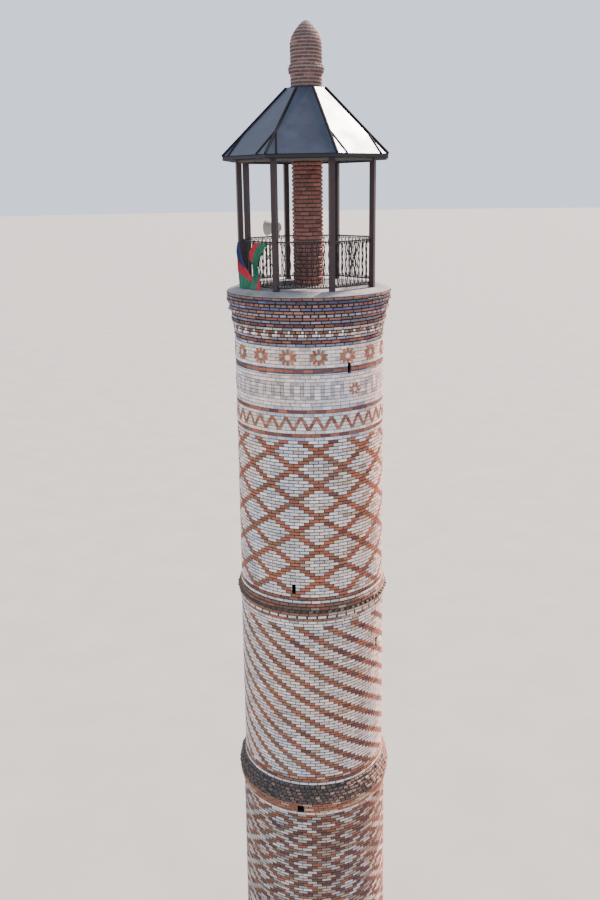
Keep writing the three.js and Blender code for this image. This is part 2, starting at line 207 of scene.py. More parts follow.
class MinaretColours(bpy.types.PropertyGroup):
    """Colours that the finishes are mixed from"""

    cream: colour_property("Cream", "Pale glazed facing brick", (0.80, 0.75, 0.72))
    buff: colour_property("Buff", "Cream brick that took up rust and dust", (0.54, 0.40, 0.30))
    pale_blue: colour_property("Pale blue", "Pale brick with a blue-grey cast", (0.60, 0.64, 0.71))
    terracotta: colour_property("Terracotta", "Orange-red brick of the lattices", (0.36, 0.115, 0.06))
    brown: colour_property("Brown", "Browner burnt brick", (0.27, 0.125, 0.075))
    dark_red: colour_property("Dark red", "Overburnt dark red brick", (0.17, 0.055, 0.045))
    orange: colour_property("Orange", "Orange-tan glazed strips of the cornice", (0.37, 0.17, 0.11))
    dark_blue: colour_property("Dark blue", "Dark blue glazed strips", (0.04, 0.06, 0.16))
    blue: colour_property("Blue", "Mid blue glazed strips", (0.115, 0.165, 0.40))
    lavender: colour_property("Lavender", "Grey-lilac glazed strips", (0.38, 0.375, 0.53))
    slate: colour_property("Slate", "Slate-blue glazed strips", (0.22, 0.25, 0.37))
    mauve: colour_property("Mauve", "Dull mauve-brown brick of the cornice", (0.22, 0.13, 0.115))
    fret_grey: colour_property("Fret grey", "Grey-lilac bricks of the fret", (0.47, 0.455, 0.50))
    # Dusty is also the pink-tan that blackened brick drifts to on the right side, where it stands for
    # painted sunlight
    dusty: colour_property("Dusty", "Pink-tan brick under dust", (0.42, 0.28, 0.22))
    blackened: colour_property("Blackened", "Brick blackened by damp and soot", (0.085, 0.068, 0.062))
    white: colour_property("White", "White glazed studs", (0.92, 0.91, 0.88))
    column_red: colour_property("Column red", "Red-brown brick of the column", (0.24, 0.10, 0.083))
    finial_red: colour_property("Finial red", "Dark red-brown brick of the finial", (0.115, 0.048, 0.040))
    limestone: colour_property("Limestone", "Dressed stone of the plinth", (0.42, 0.38, 0.32))


# Each finish is a mix of colours with their shares, a share of glaze, and how much the draw drifts from
# the first colour to the last between the left side of the tower and the right
FINISHES = {
    "cream": ([("pale_blue", 0.1), ("cream", 0.85), ("buff", 0.05)], 0.25, 0.12),
    "plain_cream": ([("pale_blue", 0.06), ("cream", 0.94)], 0.25, 0),
    "stained_cream": ([("pale_blue", 0.1), ("cream", 0.58), ("buff", 0.25), ("dusty", 0.07)], 0.1, 0.34),
    "terracotta": ([("brown", 0.2), ("terracotta", 0.76), ("dark_red", 0.04)], 0, 0.1),
    "weathered": ([("brown", 0.3), ("terracotta", 0.52), ("dark_red", 0.18)], 0, 0.3),
    "burnt": ([("brown", 0.42), ("terracotta", 0.2), ("dark_red", 0.38)], 0, 0.3),
    "brown_red": ([("dark_red", 0.4), ("terracotta", 0.35), ("brown", 0.25)], 0.1, 0),
    "brown": ([("brown", 0.6), ("terracotta", 0.2), ("buff", 0.2)], 0, 0.45),
    "pinkish": ([("brown", 0.25), ("terracotta", 0.35), ("buff", 0.4)], 0, 0.15),
    "orange": ([("orange", 0.62), ("terracotta", 0.12), ("mauve", 0.26)], 0.4, 0),
    "dark_blue": ([("dark_blue", 0.85), ("blue", 0.15)], 0.8, 0),
    "blue": ([("blue", 0.8), ("dark_blue", 0.1), ("lavender", 0.1)], 0.8, 0),
    "pale_blue": ([("pale_blue", 0.75), ("lavender", 0.15), ("cream", 0.1)], 0.5, 0),
    "lavender": ([("lavender", 0.9), ("cream", 0.1)], 0.6, 0),
    "slate": ([("slate", 0.8), ("lavender", 0.2)], 0.6, 0),
    "mauve": ([("mauve", 0.6), ("dark_red", 0.25), ("brown", 0.15)], 0.1, 0),
    "fret": ([("fret_grey", 1)], 0.4, 0),
    "zigzag": ([("brown", 0.5), ("orange", 0.25), ("terracotta", 0.15), ("dark_red", 0.1)], 0.1, 0),
    "petal": ([("orange", 0.3), ("brown", 0.5), ("terracotta", 0.2)], 0.3, 0),
    "heart": ([("pale_blue", 1)], 0.5, 0),
    # Blackened brick drifts to mauve and pink-tan dusty brick on the right side: that lighter, pinker right
    # side is painted sunlight
    "blackened": ([("blackened", 0.58), ("mauve", 0.27), ("dusty", 0.15)], 0, 0.5),
    "white": ([("white", 1)], 0.6, 0),
    "column": ([("column_red", 0.85), ("dark_red", 0.15)], 0, 0),
    "finial": ([("finial_red", 0.85), ("column_red", 0.15)], 0, 0),
    "stone": ([("limestone", 1)], 0, 0),
}


# Small shader helpers and node groups


class Graph:
    """Places nodes in a tree and joins them"""

    def __init__(self, tree):
        self.tree = tree

    def feed(self, node, inputs):
        """Joins each input to a socket, or sets it to a plain value"""
        for key, value in inputs.items():
            if isinstance(value, bpy.types.NodeSocket):
                self.tree.links.new(value, node.inputs[key])
            else:
                node.inputs[key].default_value = value

    def add(self, kind, inputs=None, **settings):
        made = self.tree.nodes.new(kind)
        for name, value in settings.items():
            setattr(made, name, value)
        self.feed(made, inputs or {})
        return made

    def object_coordinates(self):
        return self.add("ShaderNodeTexCoord").outputs["Object"]

    def height(self):
        return self.add("ShaderNodeSeparateXYZ", {0: self.object_coordinates()}).outputs["Z"]

    def normal(self):
        return self.add("ShaderNodeNewGeometry").outputs["Normal"]

    def noise(self, scale, detail=3, roughness=0.55, vector=None):
        inputs = {"Scale": scale, "Detail": detail, "Roughness": roughness,
                  "Vector": vector or self.object_coordinates()}
        return self.add("ShaderNodeTexNoise", inputs).outputs["Fac"]

    def math(self, operation, first, second, clamp=False):
        return self.add("ShaderNodeMath", {0: first, 1: second}, operation=operation,
                        use_clamp=clamp).outputs[0]

    def masked(self, first, second, amount):
        """Two masks and an amount multiplied together, and kept between 0 and 1"""
        return self.math("MULTIPLY", self.math("MULTIPLY", first, second), amount, clamp=True)

    def spread(self, value, low, high, to_low=0.0, to_high=1.0):
        """A value moved from one range to another and kept inside it"""
        inputs = {"Value": value, "From Min": low, "From Max": high, "To Min": to_low, "To Max": to_high}
        return self.add("ShaderNodeMapRange", inputs).outputs["Result"]

    def mix(self, factor, first, second, blend="MIX"):
        inputs = {0: factor, 6: first, 7: second}
        return self.add("ShaderNodeMix", inputs, data_type="RGBA", blend_type=blend).outputs[2]

    def attribute(self, name, output="Fac"):
        return self.add("ShaderNodeAttribute", attribute_name=name).outputs[output]

    def bump(self, height, distance, normal=None):
        inputs = {"Height": height, "Distance": distance}
        if normal is not None:
            inputs["Normal"] = normal
        return self.add("ShaderNodeBump", inputs).outputs["Normal"]

    def use_group(self, tree, inputs):
        return self.add("ShaderNodeGroup", inputs, node_tree=tree).outputs

    def grain(self, fine, coarse):
        return self.use_group(grain_group(), {"Fine Scale": fine, "Coarse Scale": coarse})

    def cover(self, base, colour, tree, inputs):
        """A colour laid over a base where a group's mask shows it"""
        return self.mix(self.use_group(tree, inputs)["Mask"], base, colour)


def node_group(name, inputs, outputs, build):
    """A shader node group, made once and then shared"""
    if name in bpy.data.node_groups:
        return bpy.data.node_groups[name]
    tree = bpy.data.node_groups.new(name, "ShaderNodeTree")
    for label, default in inputs.items():
        socket = tree.interface.new_socket(name=label, in_out="INPUT", socket_type="NodeSocketFloat")
        socket.default_value = default
    for label in outputs:
        tree.interface.new_socket(name=label, in_out="OUTPUT", socket_type="NodeSocketFloat")
    graph = Graph(tree)
    made = build(graph, graph.add("NodeGroupInput").outputs)
    graph.add("NodeGroupOutput", dict(zip(outputs, made)))
    return tree


def grain_group():
    """Fine sandy grain with pits, and a coarser mottling"""
    def build(graph, values):
        fine = graph.noise(values["Fine Scale"], 4, 0.65)
        coarse = graph.noise(values["Coarse Scale"], 3, 0.6)
        cells = graph.add("ShaderNodeTexVoronoi",
                          {"Vector": graph.object_coordinates(), "Scale": values["Fine Scale"]})
        pits = graph.spread(cells.outputs["Distance"], 0.12, 0.34)
        return [graph.math("MULTIPLY", fine, pits), coarse]
    return node_group("Surface Grain", {"Fine Scale": 160.0, "Coarse Scale": 14.0},
                      ["Height", "Mottle"], build)


def streak_group():
    """Marks that run down a wall, as rain leaves them"""
    def build(graph, values):
        across = values["Across Scale"]
        stretch = graph.add("ShaderNodeCombineXYZ", {"X": across, "Y": across, "Z": values["Down Scale"]})
        place = graph.add("ShaderNodeVectorMath", {0: graph.object_coordinates(), 1: stretch.outputs[0]},
                          operation="MULTIPLY")
        marks = graph.spread(graph.noise(1.0, 4, 0.6, place.outputs[0]), 0.46, 0.72)
        patches = graph.spread(graph.noise(0.6, 2), 0.35, 0.65)
        return [graph.masked(marks, patches, values["Amount"])]
    return node_group("Rain Streaks", {"Across Scale": 7.0, "Down Scale": 0.6, "Amount": 0.6},
                      ["Mask"], build)


def dust_group():
    """Dust that settles on faces that look up"""
    def build(graph, values):
        up = graph.add("ShaderNodeSeparateXYZ", {0: graph.normal()}).outputs["Z"]
        patches = graph.spread(graph.noise(values["Patch Scale"], 4), 0.3, 0.7, 0.35, 1.0)
        return [graph.masked(graph.spread(up, 0.35, 0.95), patches, values["Amount"])]
    return node_group("Settled Dust", {"Patch Scale": 5.0, "Amount": 0.5}, ["Mask"], build)


def wear_group():
    """Chipped and rubbed edges, from a mesh attribute that is one along the edges"""
    def build(graph, values):
        chips = graph.spread(graph.noise(values["Chip Scale"], 3, 0.7), 0.42, 0.6)
        return [graph.masked(values["Edge"], chips, values["Amount"])]
    return node_group("Edge Wear", {"Edge": 0.0, "Chip Scale": 40.0, "Amount": 0.6}, ["Mask"], build)


def surface(name, build):
    """A material, made once, whose shader takes the sockets and values that build(graph) gives"""
    if name in bpy.data.materials:
        return bpy.data.materials[name]
    material = bpy.data.materials.new(name)
    material.use_nodes = True
    graph = Graph(material.node_tree)
    graph.tree.nodes.clear()
    shader = graph.add("ShaderNodeBsdfPrincipled")
    graph.add("ShaderNodeOutputMaterial", {"Surface": shader.outputs["BSDF"]})
    graph.feed(shader, build(graph))
    return material


def rgb(colour, shade=1.0):
    return (*[min(1.0, channel * shade) for channel in colour], 1.0)


def brick_surface():
    """Fired and glazed bricks, coloured brick by brick"""
    speckle = rgb((0.2, 0.15, 0.13))
    rubbed = rgb((0.30, 0.22, 0.18))
    rain = rgb((0.16, 0.14, 0.13))
    dust = rgb((0.27, 0.23, 0.20))
    soot_and_shade_black = rgb((0.030, 0.026, 0.025))

    def build(graph):
        grain = graph.grain(190.0, 17.0)
        mottled = graph.mix(graph.spread(grain["Mottle"], 0.3, 0.75, 0, 0.3),
                            graph.attribute("brick_colour", "Color"), speckle, "MULTIPLY")
        worn = graph.cover(mottled, rubbed, wear_group(), {"Edge": graph.attribute("edge"), "Amount": 0.5})
        stained = graph.cover(worn, rain, streak_group(), {"Amount": 0.3})
        dusted = graph.cover(stained, dust, dust_group(), {"Amount": 0.4})
        patches = graph.spread(grain["Mottle"], 0.2, 0.8, 1, 0.55)
        # Soot and painted shade: each brick's soot share darkens it, more on the side away from the sun and
        # all round the cornice
        sooty_and_shaded = graph.mix(graph.math("MULTIPLY", graph.attribute("soot"), patches), dusted, soot_and_shade_black)
        shine = graph.math("MULTIPLY", graph.attribute("glaze"), 0.42)
        rough = graph.math("SUBTRACT", graph.spread(grain["Height"], 0, 1, 0.74, 0.95), shine)
        return {"Base Color": sooty_and_shaded, "Roughness": rough, "Normal": graph.bump(grain["Height"], 0.0016)}
    return surface("Fired Brick", build)


def mortar_surface(name, colour, stain, pale_from=None):
    """Lime mortar behind the brick faces and over the inner wall, cleaner above a height if one is given"""
    pale = rgb((0.22, 0.20, 0.20))

    def build(graph):
        grain = graph.grain(120.0, 6.0)
        mottled = graph.mix(graph.spread(grain["Mottle"], 0.3, 0.7), rgb(colour), rgb(stain))
        if pale_from is not None:
            clean = graph.spread(graph.height(), pale_from - 0.01, pale_from + 0.01)
            mottled = graph.mix(clean, mottled, pale)
        stained = graph.cover(mottled, rgb(stain, 0.5), streak_group(), {"Amount": 0.6})
        return {"Base Color": stained, "Roughness": graph.spread(grain["Height"], 0, 1, 0.86, 1.0),
                "Normal": graph.bump(grain["Height"], 0.003)}
    return surface(name, build)


def concrete_surface():
    """Trowelled grey screed with dark damp patches"""
    dark, light, damp = rgb((0.19, 0.19, 0.205)), rgb((0.30, 0.30, 0.31)), rgb((0.10, 0.095, 0.09))

    def build(graph):
        grain = graph.grain(90.0, 2.4)
        base = graph.mix(graph.spread(grain["Mottle"], 0.35, 0.65), dark, light)
        spots = graph.spread(graph.noise(9.0, 5, 0.7), 0.55, 0.7, 0, 0.5)
        return {"Base Color": graph.mix(spots, base, damp),
                "Roughness": graph.spread(grain["Height"], 0, 1, 0.8, 0.95),
                "Normal": graph.bump(grain["Height"], 0.002)}
    return surface("Trowelled Concrete", build)


def painted_metal_surface(name, colour, rust, rough, metallic=0.0, dust=0.45, specular=0.5):
    """Brushed-on paint with runs, dust on top and a little rust"""
    rust_colour, dust_colour = rgb((0.16, 0.055, 0.025)), rgb((0.30, 0.28, 0.26))

    def build(graph):
        grain = graph.grain(60.0, 5.0)
        paint = graph.mix(graph.spread(grain["Mottle"], 0.3, 0.7), rgb(colour, 0.8), rgb(colour, 1.25))
        spots = graph.spread(graph.noise(23.0, 6, 0.72), 0.62, 0.72)
        marked = graph.mix(graph.math("MULTIPLY", spots, rust), paint, rust_colour)
        settled = graph.use_group(dust_group(), {"Amount": dust, "Patch Scale": 9.0})["Mask"]
        brushed = graph.spread(grain["Mottle"], 0.2, 0.8, rough - 0.07, rough + 0.1)
        roughness = graph.math("ADD", brushed, graph.math("MULTIPLY", settled, 0.4), clamp=True)
        return {"Base Color": graph.mix(settled, marked, dust_colour), "Roughness": roughness,
                "Metallic": metallic, "Specular IOR Level": specular,
                "Normal": graph.bump(grain["Height"], 0.0006)}
    return surface(name, build)


def roof_surface(eave_top):
    """Painted sheet steel that is a little buckled and dusty, and darker on the upright edge of the eave"""
    deep, light = rgb((0.024, 0.032, 0.058)), rgb((0.041, 0.053, 0.090))
    dust, edge_paint = rgb((0.12, 0.125, 0.14)), rgb((0.016, 0.017, 0.022))

    def build(graph):
        grain = graph.grain(45.0, 1.6)
        tint = graph.mix(graph.spread(grain["Mottle"], 0.35, 0.65), deep, light)
        dusty = graph.cover(tint, dust, streak_group(),
                            {"Across Scale": 12.0, "Down Scale": 1.6, "Amount": 0.3})
        slope = graph.spread(graph.height(), eave_top - 0.002, eave_top + 0.002)
        buckles = graph.bump(graph.noise(2.2, 2, 0.4), 0.012)
        return {"Base Color": graph.mix(slope, edge_paint, dusty),
                "Roughness": graph.spread(grain["Mottle"], 0.3, 0.7, 0.30, 0.42), "Metallic": 0.45,
                "Normal": graph.bump(grain["Height"], 0.0005, buckles)}
    return surface("Roof Sheet", build)


def beam_surface():
    """Light olive paint on the beam's outer side, and painted shade on the sides that face the lantern:
    they are coloured dark, as the shade under the roof
    """
    dark, olive, grime = rgb((0.022, 0.025, 0.038)), rgb((0.12, 0.12, 0.10)), rgb((0.10, 0.09, 0.08))

    def build(graph):
        grain = graph.grain(60.0, 5.0)
        facing = graph.add("ShaderNodeVectorMath", {0: graph.normal(), 1: graph.object_coordinates()},
                           operation="DOT_PRODUCT").outputs["Value"]
        # Painted shade: the faces that look in towards the lantern, under the roof, are coloured dark
        paint = graph.mix(graph.spread(facing, 0.3, 0.5), dark, olive)
        return {"Base Color": graph.mix(graph.spread(grain["Mottle"], 0.35, 0.75, 0, 0.5), paint, grime),
                "Roughness": graph.spread(grain["Mottle"], 0.2, 0.8, 0.6, 0.8),
                "Specular IOR Level": 0.15, "Normal": graph.bump(grain["Height"], 0.0006)}
    return surface("Beam Paint", build)


def cloth_surface():
    """Thin woven cloth in three plain bands, laid out along the cloth's own coordinates"""
    blue, red, green = rgb((0.010, 0.030, 0.12)), rgb((0.40, 0.012, 0.030)), rgb((0.006, 0.14, 0.080))
    worn_pale = rgb((0.32, 0.26, 0.26))
    red_from, green_from, blur = 0.35, 0.64, 0.005
    threads = 90.0

    def build(graph):
        place = graph.add("ShaderNodeUVMap", uv_map="Cloth").outputs["UV"]
        band = graph.add("ShaderNodeSeparateXYZ", {0: place}).outputs["Y"]
        upper = graph.mix(graph.spread(band, red_from - blur, red_from + blur), blue, red)
        bands = graph.mix(graph.spread(band, green_from - blur, green_from + blur), upper, green)
        warp, weft = (
            graph.add("ShaderNodeTexWave", {"Vector": place, "Scale": threads}, bands_direction=way)
            for way in ("X", "Y"))
        weave = graph.math("MULTIPLY", warp.outputs["Fac"], weft.outputs["Fac"])
        fade = graph.spread(graph.noise(8.0, 3), 0.35, 0.7, 0, 0.06)
        return {"Base Color": graph.mix(fade, bands, worn_pale),
                "Roughness": graph.spread(weave, 0, 1, 0.75, 0.92), "Sheen Weight": 0.08,
                "Normal": graph.bump(weave, 0.0008)}
    return surface("Banded Cloth", build)


# Pieces: every one is a mesh at the origin that rides with the tower


def new_object(name, data):
    made = bpy.data.objects.new(name, data)
    bpy.context.scene.collection.objects.link(made)
    return made


def add_piece(name, mesh, material, replaced=()):
    """A finished mesh as a piece of the tower, in place of the solids that it replaces"""
    piece = new_object(name, mesh)
    mesh.materials.append(material)
    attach(piece, "root")
    if replaced:
        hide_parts(*replaced)
    return piece


def assign(node, material):
    """Gives a solid of the model its finished surface"""
    piece = frame["nodes"][node]
    piece.data.materials.clear()
    piece.data.materials.append(material)


def mesh_from(name, bm):
    mesh = bpy.data.meshes.new(name)
    bm.to_mesh(mesh)
    bm.free()
    return mesh


def axes_at(place, x_axis, y_axis, z_axis):
    """The matrix that turns X, Y and Z to three axes and moves the origin to a place"""
    return Matrix.Translation(place) @ Matrix((x_axis, y_axis, z_axis)).transposed().to_4x4()


def add_box(bm, size, matrix):
    """A box of a size, turned and placed by a matrix"""
    verts = bmesh.ops.create_cube(bm, size=1.0)["verts"]
    bmesh.ops.scale(bm, vec=size, verts=verts)
    bmesh.ops.transform(bm, matrix=matrix, verts=verts)
    return verts


# Shapes that are made once and then repeated


Shape = namedtuple("Shape", "points faces edge size")


def shape_from(bm, size, is_edge):
    """The points and faces of a bmesh, with a mark of one on the points that wear reaches"""
    bm.verts.index_update()
    points = np.array([vertex.co for vertex in bm.verts])
    faces = [[vertex.index for vertex in face.verts] for face in bm.faces]
    edge = np.array([1.0 if is_edge(vertex.co) else 0.0 for vertex in bm.verts])
    bm.free()
    return Shape(points, faces, edge, size)


def brick_shape(length, depth, height, arris, bends=1):
    """One brick lying along X with its face at y = 0 and its body behind, worn along the face's edges"""
    bm = bmesh.new()
    bmesh.ops.create_cube(bm, size=1.0)
    bmesh.ops.scale(bm, vec=(length, depth, height), verts=bm.verts)
    bmesh.ops.translate(bm, vec=(0, depth / 2, 0), verts=bm.verts)
    if bends > 1:
        along = [e for e in bm.edges if abs(e.verts[0].co.x - e.verts[1].co.x) > length / 2]
        bmesh.ops.subdivide_edges(bm, edges=along, cuts=bends - 1, use_grid_fill=True)

    def is_rim(edge, tolerance=1e-6):
        ends = [vertex.co for vertex in edge.verts]
        return all(end.y < tolerance for end in ends) and (
            all(abs(abs(end.z) - height / 2) < tolerance for end in ends)
            or all(abs(abs(end.x) - length / 2) < tolerance for end in ends))
    rim = [edge for edge in bm.edges if is_rim(edge)]
    bmesh.ops.bevel(bm, geom=rim, offset=arris, offset_type="OFFSET", segments=1, profile=0.5,
                    affect="EDGES", material=-1)
    bmesh.ops.recalc_face_normals(bm, faces=bm.faces)
    return shape_from(bm, (length, height), lambda co: co.y > arris / 2)


def disc_shape(sides, depth, width):
    """A round piece that tapers a little to its flat front, which is at y = 0"""
    taper = 0.9
    bm = bmesh.new()
    bmesh.ops.create_cone(bm, cap_ends=True, segments=sides, radius1=width / 2,
                          radius2=width / 2 * taper, depth=depth)
    bmesh.ops.rotate(bm, verts=bm.verts, cent=(0, 0, 0), matrix=Matrix.Rotation(math.pi / 2, 3, "X"))
    bmesh.ops.translate(bm, verts=bm.verts, vec=(0, depth / 2, 0))
    return shape_from(bm, (width, width), lambda co: co.y > depth / 2)


Placed = namedtuple("Placed", "bearing radius z length height finish turn lean roll soot slant",
                    defaults=(0, 0, 0, 0, 0))

# How far each corner is out of true by chance, and the share of it in the plane of the face
WOBBLE = 0.0006
FACE_WOBBLE = 0.7


def place_copies(shape, placed, seed):
    """Points of every copy, each stretched to its own size, turned, and bent round the tower"""
    rng = np.random.default_rng(seed)
    bearing, radius, z, length, height, turn, lean, roll, slant = (
        np.array([getattr(one, key) for one in placed])[:, None]
        for key in ("bearing", "radius", "z", "length", "height", "turn", "lean", "roll", "slant"))
    x, y, up = (np.repeat(shape.points[None, :, i], len(placed), axis=0) for i in range(3))
    x = x + np.sign(x) * (length - shape.size[0]) / 2
    up = up + np.sign(up) * (height - shape.size[1]) / 2
    wobble = rng.normal(0, WOBBLE, (3, *x.shape))
    y = y + turn * x + lean * up + wobble[0]
    x = x + slant * up
    x, up = x * np.cos(roll) + up * np.sin(roll), up * np.cos(roll) - x * np.sin(roll)
    x, up = x + wobble[1] * FACE_WOBBLE, up + wobble[2] * FACE_WOBBLE
    angle = np.radians(bearing) + x / radius
    reach = radius - y
    points = np.stack([reach * np.sin(angle), -reach * np.cos(angle), z + up], axis=-1)
    return points.reshape(-1, 3)


# Patches of the tower are warmer or cooler by this much, and lie this close together round it and up it
PATCH_WARMTH = 0.16
PATCHES_ROUND, PATCHES_UP = 1.7, 0.45
# Painted sunlight: how much warmer and pinker the right side is coloured, where the sun falls on it, and by
# what share of that its red, green and blue rise or fall
PAINTED_SUNLIGHT = 0.24
PAINTED_SUNLIGHT_SHARES = (0.33, -0.8, -1.1)
# Shades of the darkest and the lightest brick of a colour
DARKEST, LIGHTEST = 0.55, 1.45


def finish_colour(finish, bearing, z, rng, colours, variety):
    """One brick's colour: a draw from its finish, drifting over the wall, and warmer and pinker on the
    right side as painted sunlight
    """
    mix, glaze, side_drift = FINISHES[finish]
    angle = math.radians(bearing)
    draw = rng.random() + side_drift * math.sin(angle)
    for name, share in mix:
        draw -= share
        if draw <= 0:
            break
    spot = Vector((PATCHES_ROUND * math.sin(angle), PATCHES_ROUND * math.cos(angle), PATCHES_UP * z))
    warm = 1 + PATCH_WARMTH * noise.noise(spot)
    shade = float(np.clip(rng.normal(1.0, variety), DARKEST, LIGHTEST))
    # Painted sunlight: the bricks on the right side, where the sun falls, are tinted warmer and pinker
    painted_sunlight = PAINTED_SUNLIGHT * max(0.0, math.sin(angle)) ** 2
    painted_sunlight_tints = [1 + share * painted_sunlight for share in PAINTED_SUNLIGHT_SHARES]
    red, green, blue = (channel * shade * tint for channel, tint in zip(getattr(colours, name), painted_sunlight_tints))
    return (red * warm, green, blue / warm), glaze


def joined_copies(name, shape, placed, seed, slot_name="patterned_brick"):
    """One mesh of all the placed copies, with a colour that holds painted sunlight, a soot share that is
    also painted shade, and glaze for each
    """
    settings = bpy.context.scene.minaret_bricks
    colours = bpy.context.scene.minaret_colours
    points = place_copies(shape, placed, settings.seed + seed)
    corners = len(shape.points)
    faces = [[index + corners * copy for index in face]
             for copy in range(len(placed)) for face in shape.faces]
    mesh = bpy.data.meshes.new(name)
    mesh.from_pydata(points.tolist(), [], faces)
    rng = np.random.default_rng(settings.seed + 100 + seed)
    paint, glaze = [], []
    for one in placed:
        colour, gloss = finish_colour(one.finish, one.bearing, one.z, rng, colours, settings.variety)
        paint.append((*colour, 1.0))
        glaze.append(gloss)
    layer = mesh.attributes.new("brick_colour", "FLOAT_COLOR", "POINT")
    layer.data.foreach_set("color", np.repeat(np.array(paint, np.float32), corners, axis=0).ravel())
    values = {"glaze": np.repeat(np.array(glaze), corners),
              "soot": np.repeat(np.array([one.soot for one in placed]), corners),
              "edge": np.tile(shape.edge, len(placed))}
    for label, data in values.items():
        layer = mesh.attributes.new(label, "FLOAT", "POINT")
        layer.data.foreach_set("value", data.astype(np.float32))
    return add_piece(name, mesh, brick_surface())


# Courses of bricks: each row has its bricks as (from bearing, to bearing, finish)


Row = namedtuple("Row", "bottom height bricks turn lean rough soot gap bed",
                 defaults=(0, 0, 0, 0, None, None))


def around(count, first, pieces):
    """Pieces, given in degrees from a starting bearing, repeated all the way round"""
    pitch = 360 / count
    return [(first + i * pitch + start, first + i * pitch + end, finish)
            for i in range(count) for start, end, finish in pieces]


def stretchers(count, first, finish):
    return around(count, first, [(0, 360 / count, finish)])


def half_bond(count, k, finish):
    """Course number k of a wall whose every second course starts half a brick further on"""
    return stretchers(count, 180 / count * (k % 2), finish)


def uneven(half_bricks, count, swell):
    """Bearing of a place counted in half bricks, where bricks are longer in front than behind"""
    turn = 2 * math.pi * half_bricks / (2 * count)
    return math.degrees(turn) + swell * math.sin(turn)


def bonded(step, finish_of, count, swell, first):
    """One course in a half-brick bond. finish_of takes the brick's place in half bricks."""
    start = (step + 1) % 2
    return [(uneven(first + i - 1, count, swell), uneven(first + i + 1, count, swell), finish_of(i))
            for i in range(start, 2 * count + start, 2)]


def coursed(wall, bricks_of, soot, top=None):
    """Even courses up a wall's height. bricks_of takes a course's number and the number of courses."""
    bottom = wall_foot(wall)
    count = round(((top or wall_head(wall)) - bottom) / COURSE)
    return [Row(bottom + k * COURSE, COURSE, bricks_of(k, count), soot=soot) for k in range(count)]


# A lozenge of the lattice is as many courses high as it is half bricks wide
LOZENGE = 10
HALF_LOZENGE = LOZENGE // 2


def is_on_lattice(x, y):
    return (x + y) % LOZENGE == HALF_LOZENGE or (x - y) % LOZENGE == HALF_LOZENGE


def is_in_motif(x, y):
    """Whether a brick is in the small cross in the middle of a lozenge"""
    return any(abs((x + shift) % LOZENGE - HALF_LOZENGE) + abs((y + shift) % LOZENGE - HALF_LOZENGE) <= 1
               for shift in (0, HALF_LOZENGE))


def tier_3_rows():
    """Terracotta with a white lattice and a white motif in each lozenge"""
    middle_course = 52

    def bricks(k, count):
        step = k - middle_course

        def finish(i):
            white = is_on_lattice(i, step) or is_in_motif(i, step)
            return "stained_cream" if white else "burnt"
        return bonded(step, finish, count=50, swell=1.8, first=2.22)
    return coursed("tier_3", bricks, soot=0.5)


def tier_2_rows():
    """White with terracotta stripes that wind down to the right, half a brick a course"""
    bricks_round, stripes = 48, 16
    half_brick = 180 / bricks_round
    # The course in which a stripe is in front, and the bearing of its middle there
    front_course, front_bearing = 31, 0.44
    pieces = [(-half_brick, half_brick, "weathered"), (half_brick, 3 * half_brick, "cream"),
              (3 * half_brick, 5 * half_brick, "cream")]

    def bricks(k, count):
        return around(stripes, front_bearing + half_brick * (front_course - k), pieces)
    rows = coursed("tier_2", bricks, soot=0.13)
    rows[-1] = Row(rows[-1].bottom, COURSE, stretchers(bricks_round, 0, "cream"))
    return rows


def lattice_rows(top):
    """White lozenges in a terracotta lattice, up to a height on tier 1"""
    middle_course = 20

    def bricks(k, count):
        step = k - middle_course
        return bonded(step, lambda i: "terracotta" if is_on_lattice(i, step) else "cream",
                      count=50, swell=2.39, first=1.41)
    return coursed("tier_1", bricks, soot=0.05, top=top)


FRET = ["####..", "#..#..", "#..#..", "#..#..", "#..###"]
FRET_STRIPS = 144
BAND_COURSES = 27

Flower = namedtuple("Flower", "bearing count reach drop petals")
# A flower's drop is how far its middle lies below the head of tier 1
LARGE_FLOWER = Flower(bearing=6, count=16, reach=0.195, drop=0.205, petals=10)
SMALL_FLOWER = Flower(bearing=34.5, count=3, reach=0.148, drop=0.889, petals=8)


def is_beside_flower(bearing):
    """Whether a strip of the fret lies where a small flower has its place"""
    clear = 5.5
    spacing = 360 / SMALL_FLOWER.count
    return abs((bearing - SMALL_FLOWER.bearing + spacing / 2) % spacing - spacing / 2) < clear


def fret_bricks(pattern):
    """One course of a plain battlement fret in grey strips on cream, left out beside the small flowers"""
    cell = 360 / FRET_STRIPS
    bricks, index = [], 0
    while index < FRET_STRIPS:
        mark = pattern[index % len(pattern)]
        longest = 3 if mark == "." else 2
        run = 1
        while (run < longest and index + run < FRET_STRIPS
               and pattern[(index + run) % len(pattern)] == mark):
            run += 1
        bearing = index * cell
        grey = mark == "#" and not is_beside_flower(bearing + run * cell / 2)
        bricks.append((bearing, bearing + run * cell, "fret" if grey else "plain_cream"))
        index += run
    return bricks


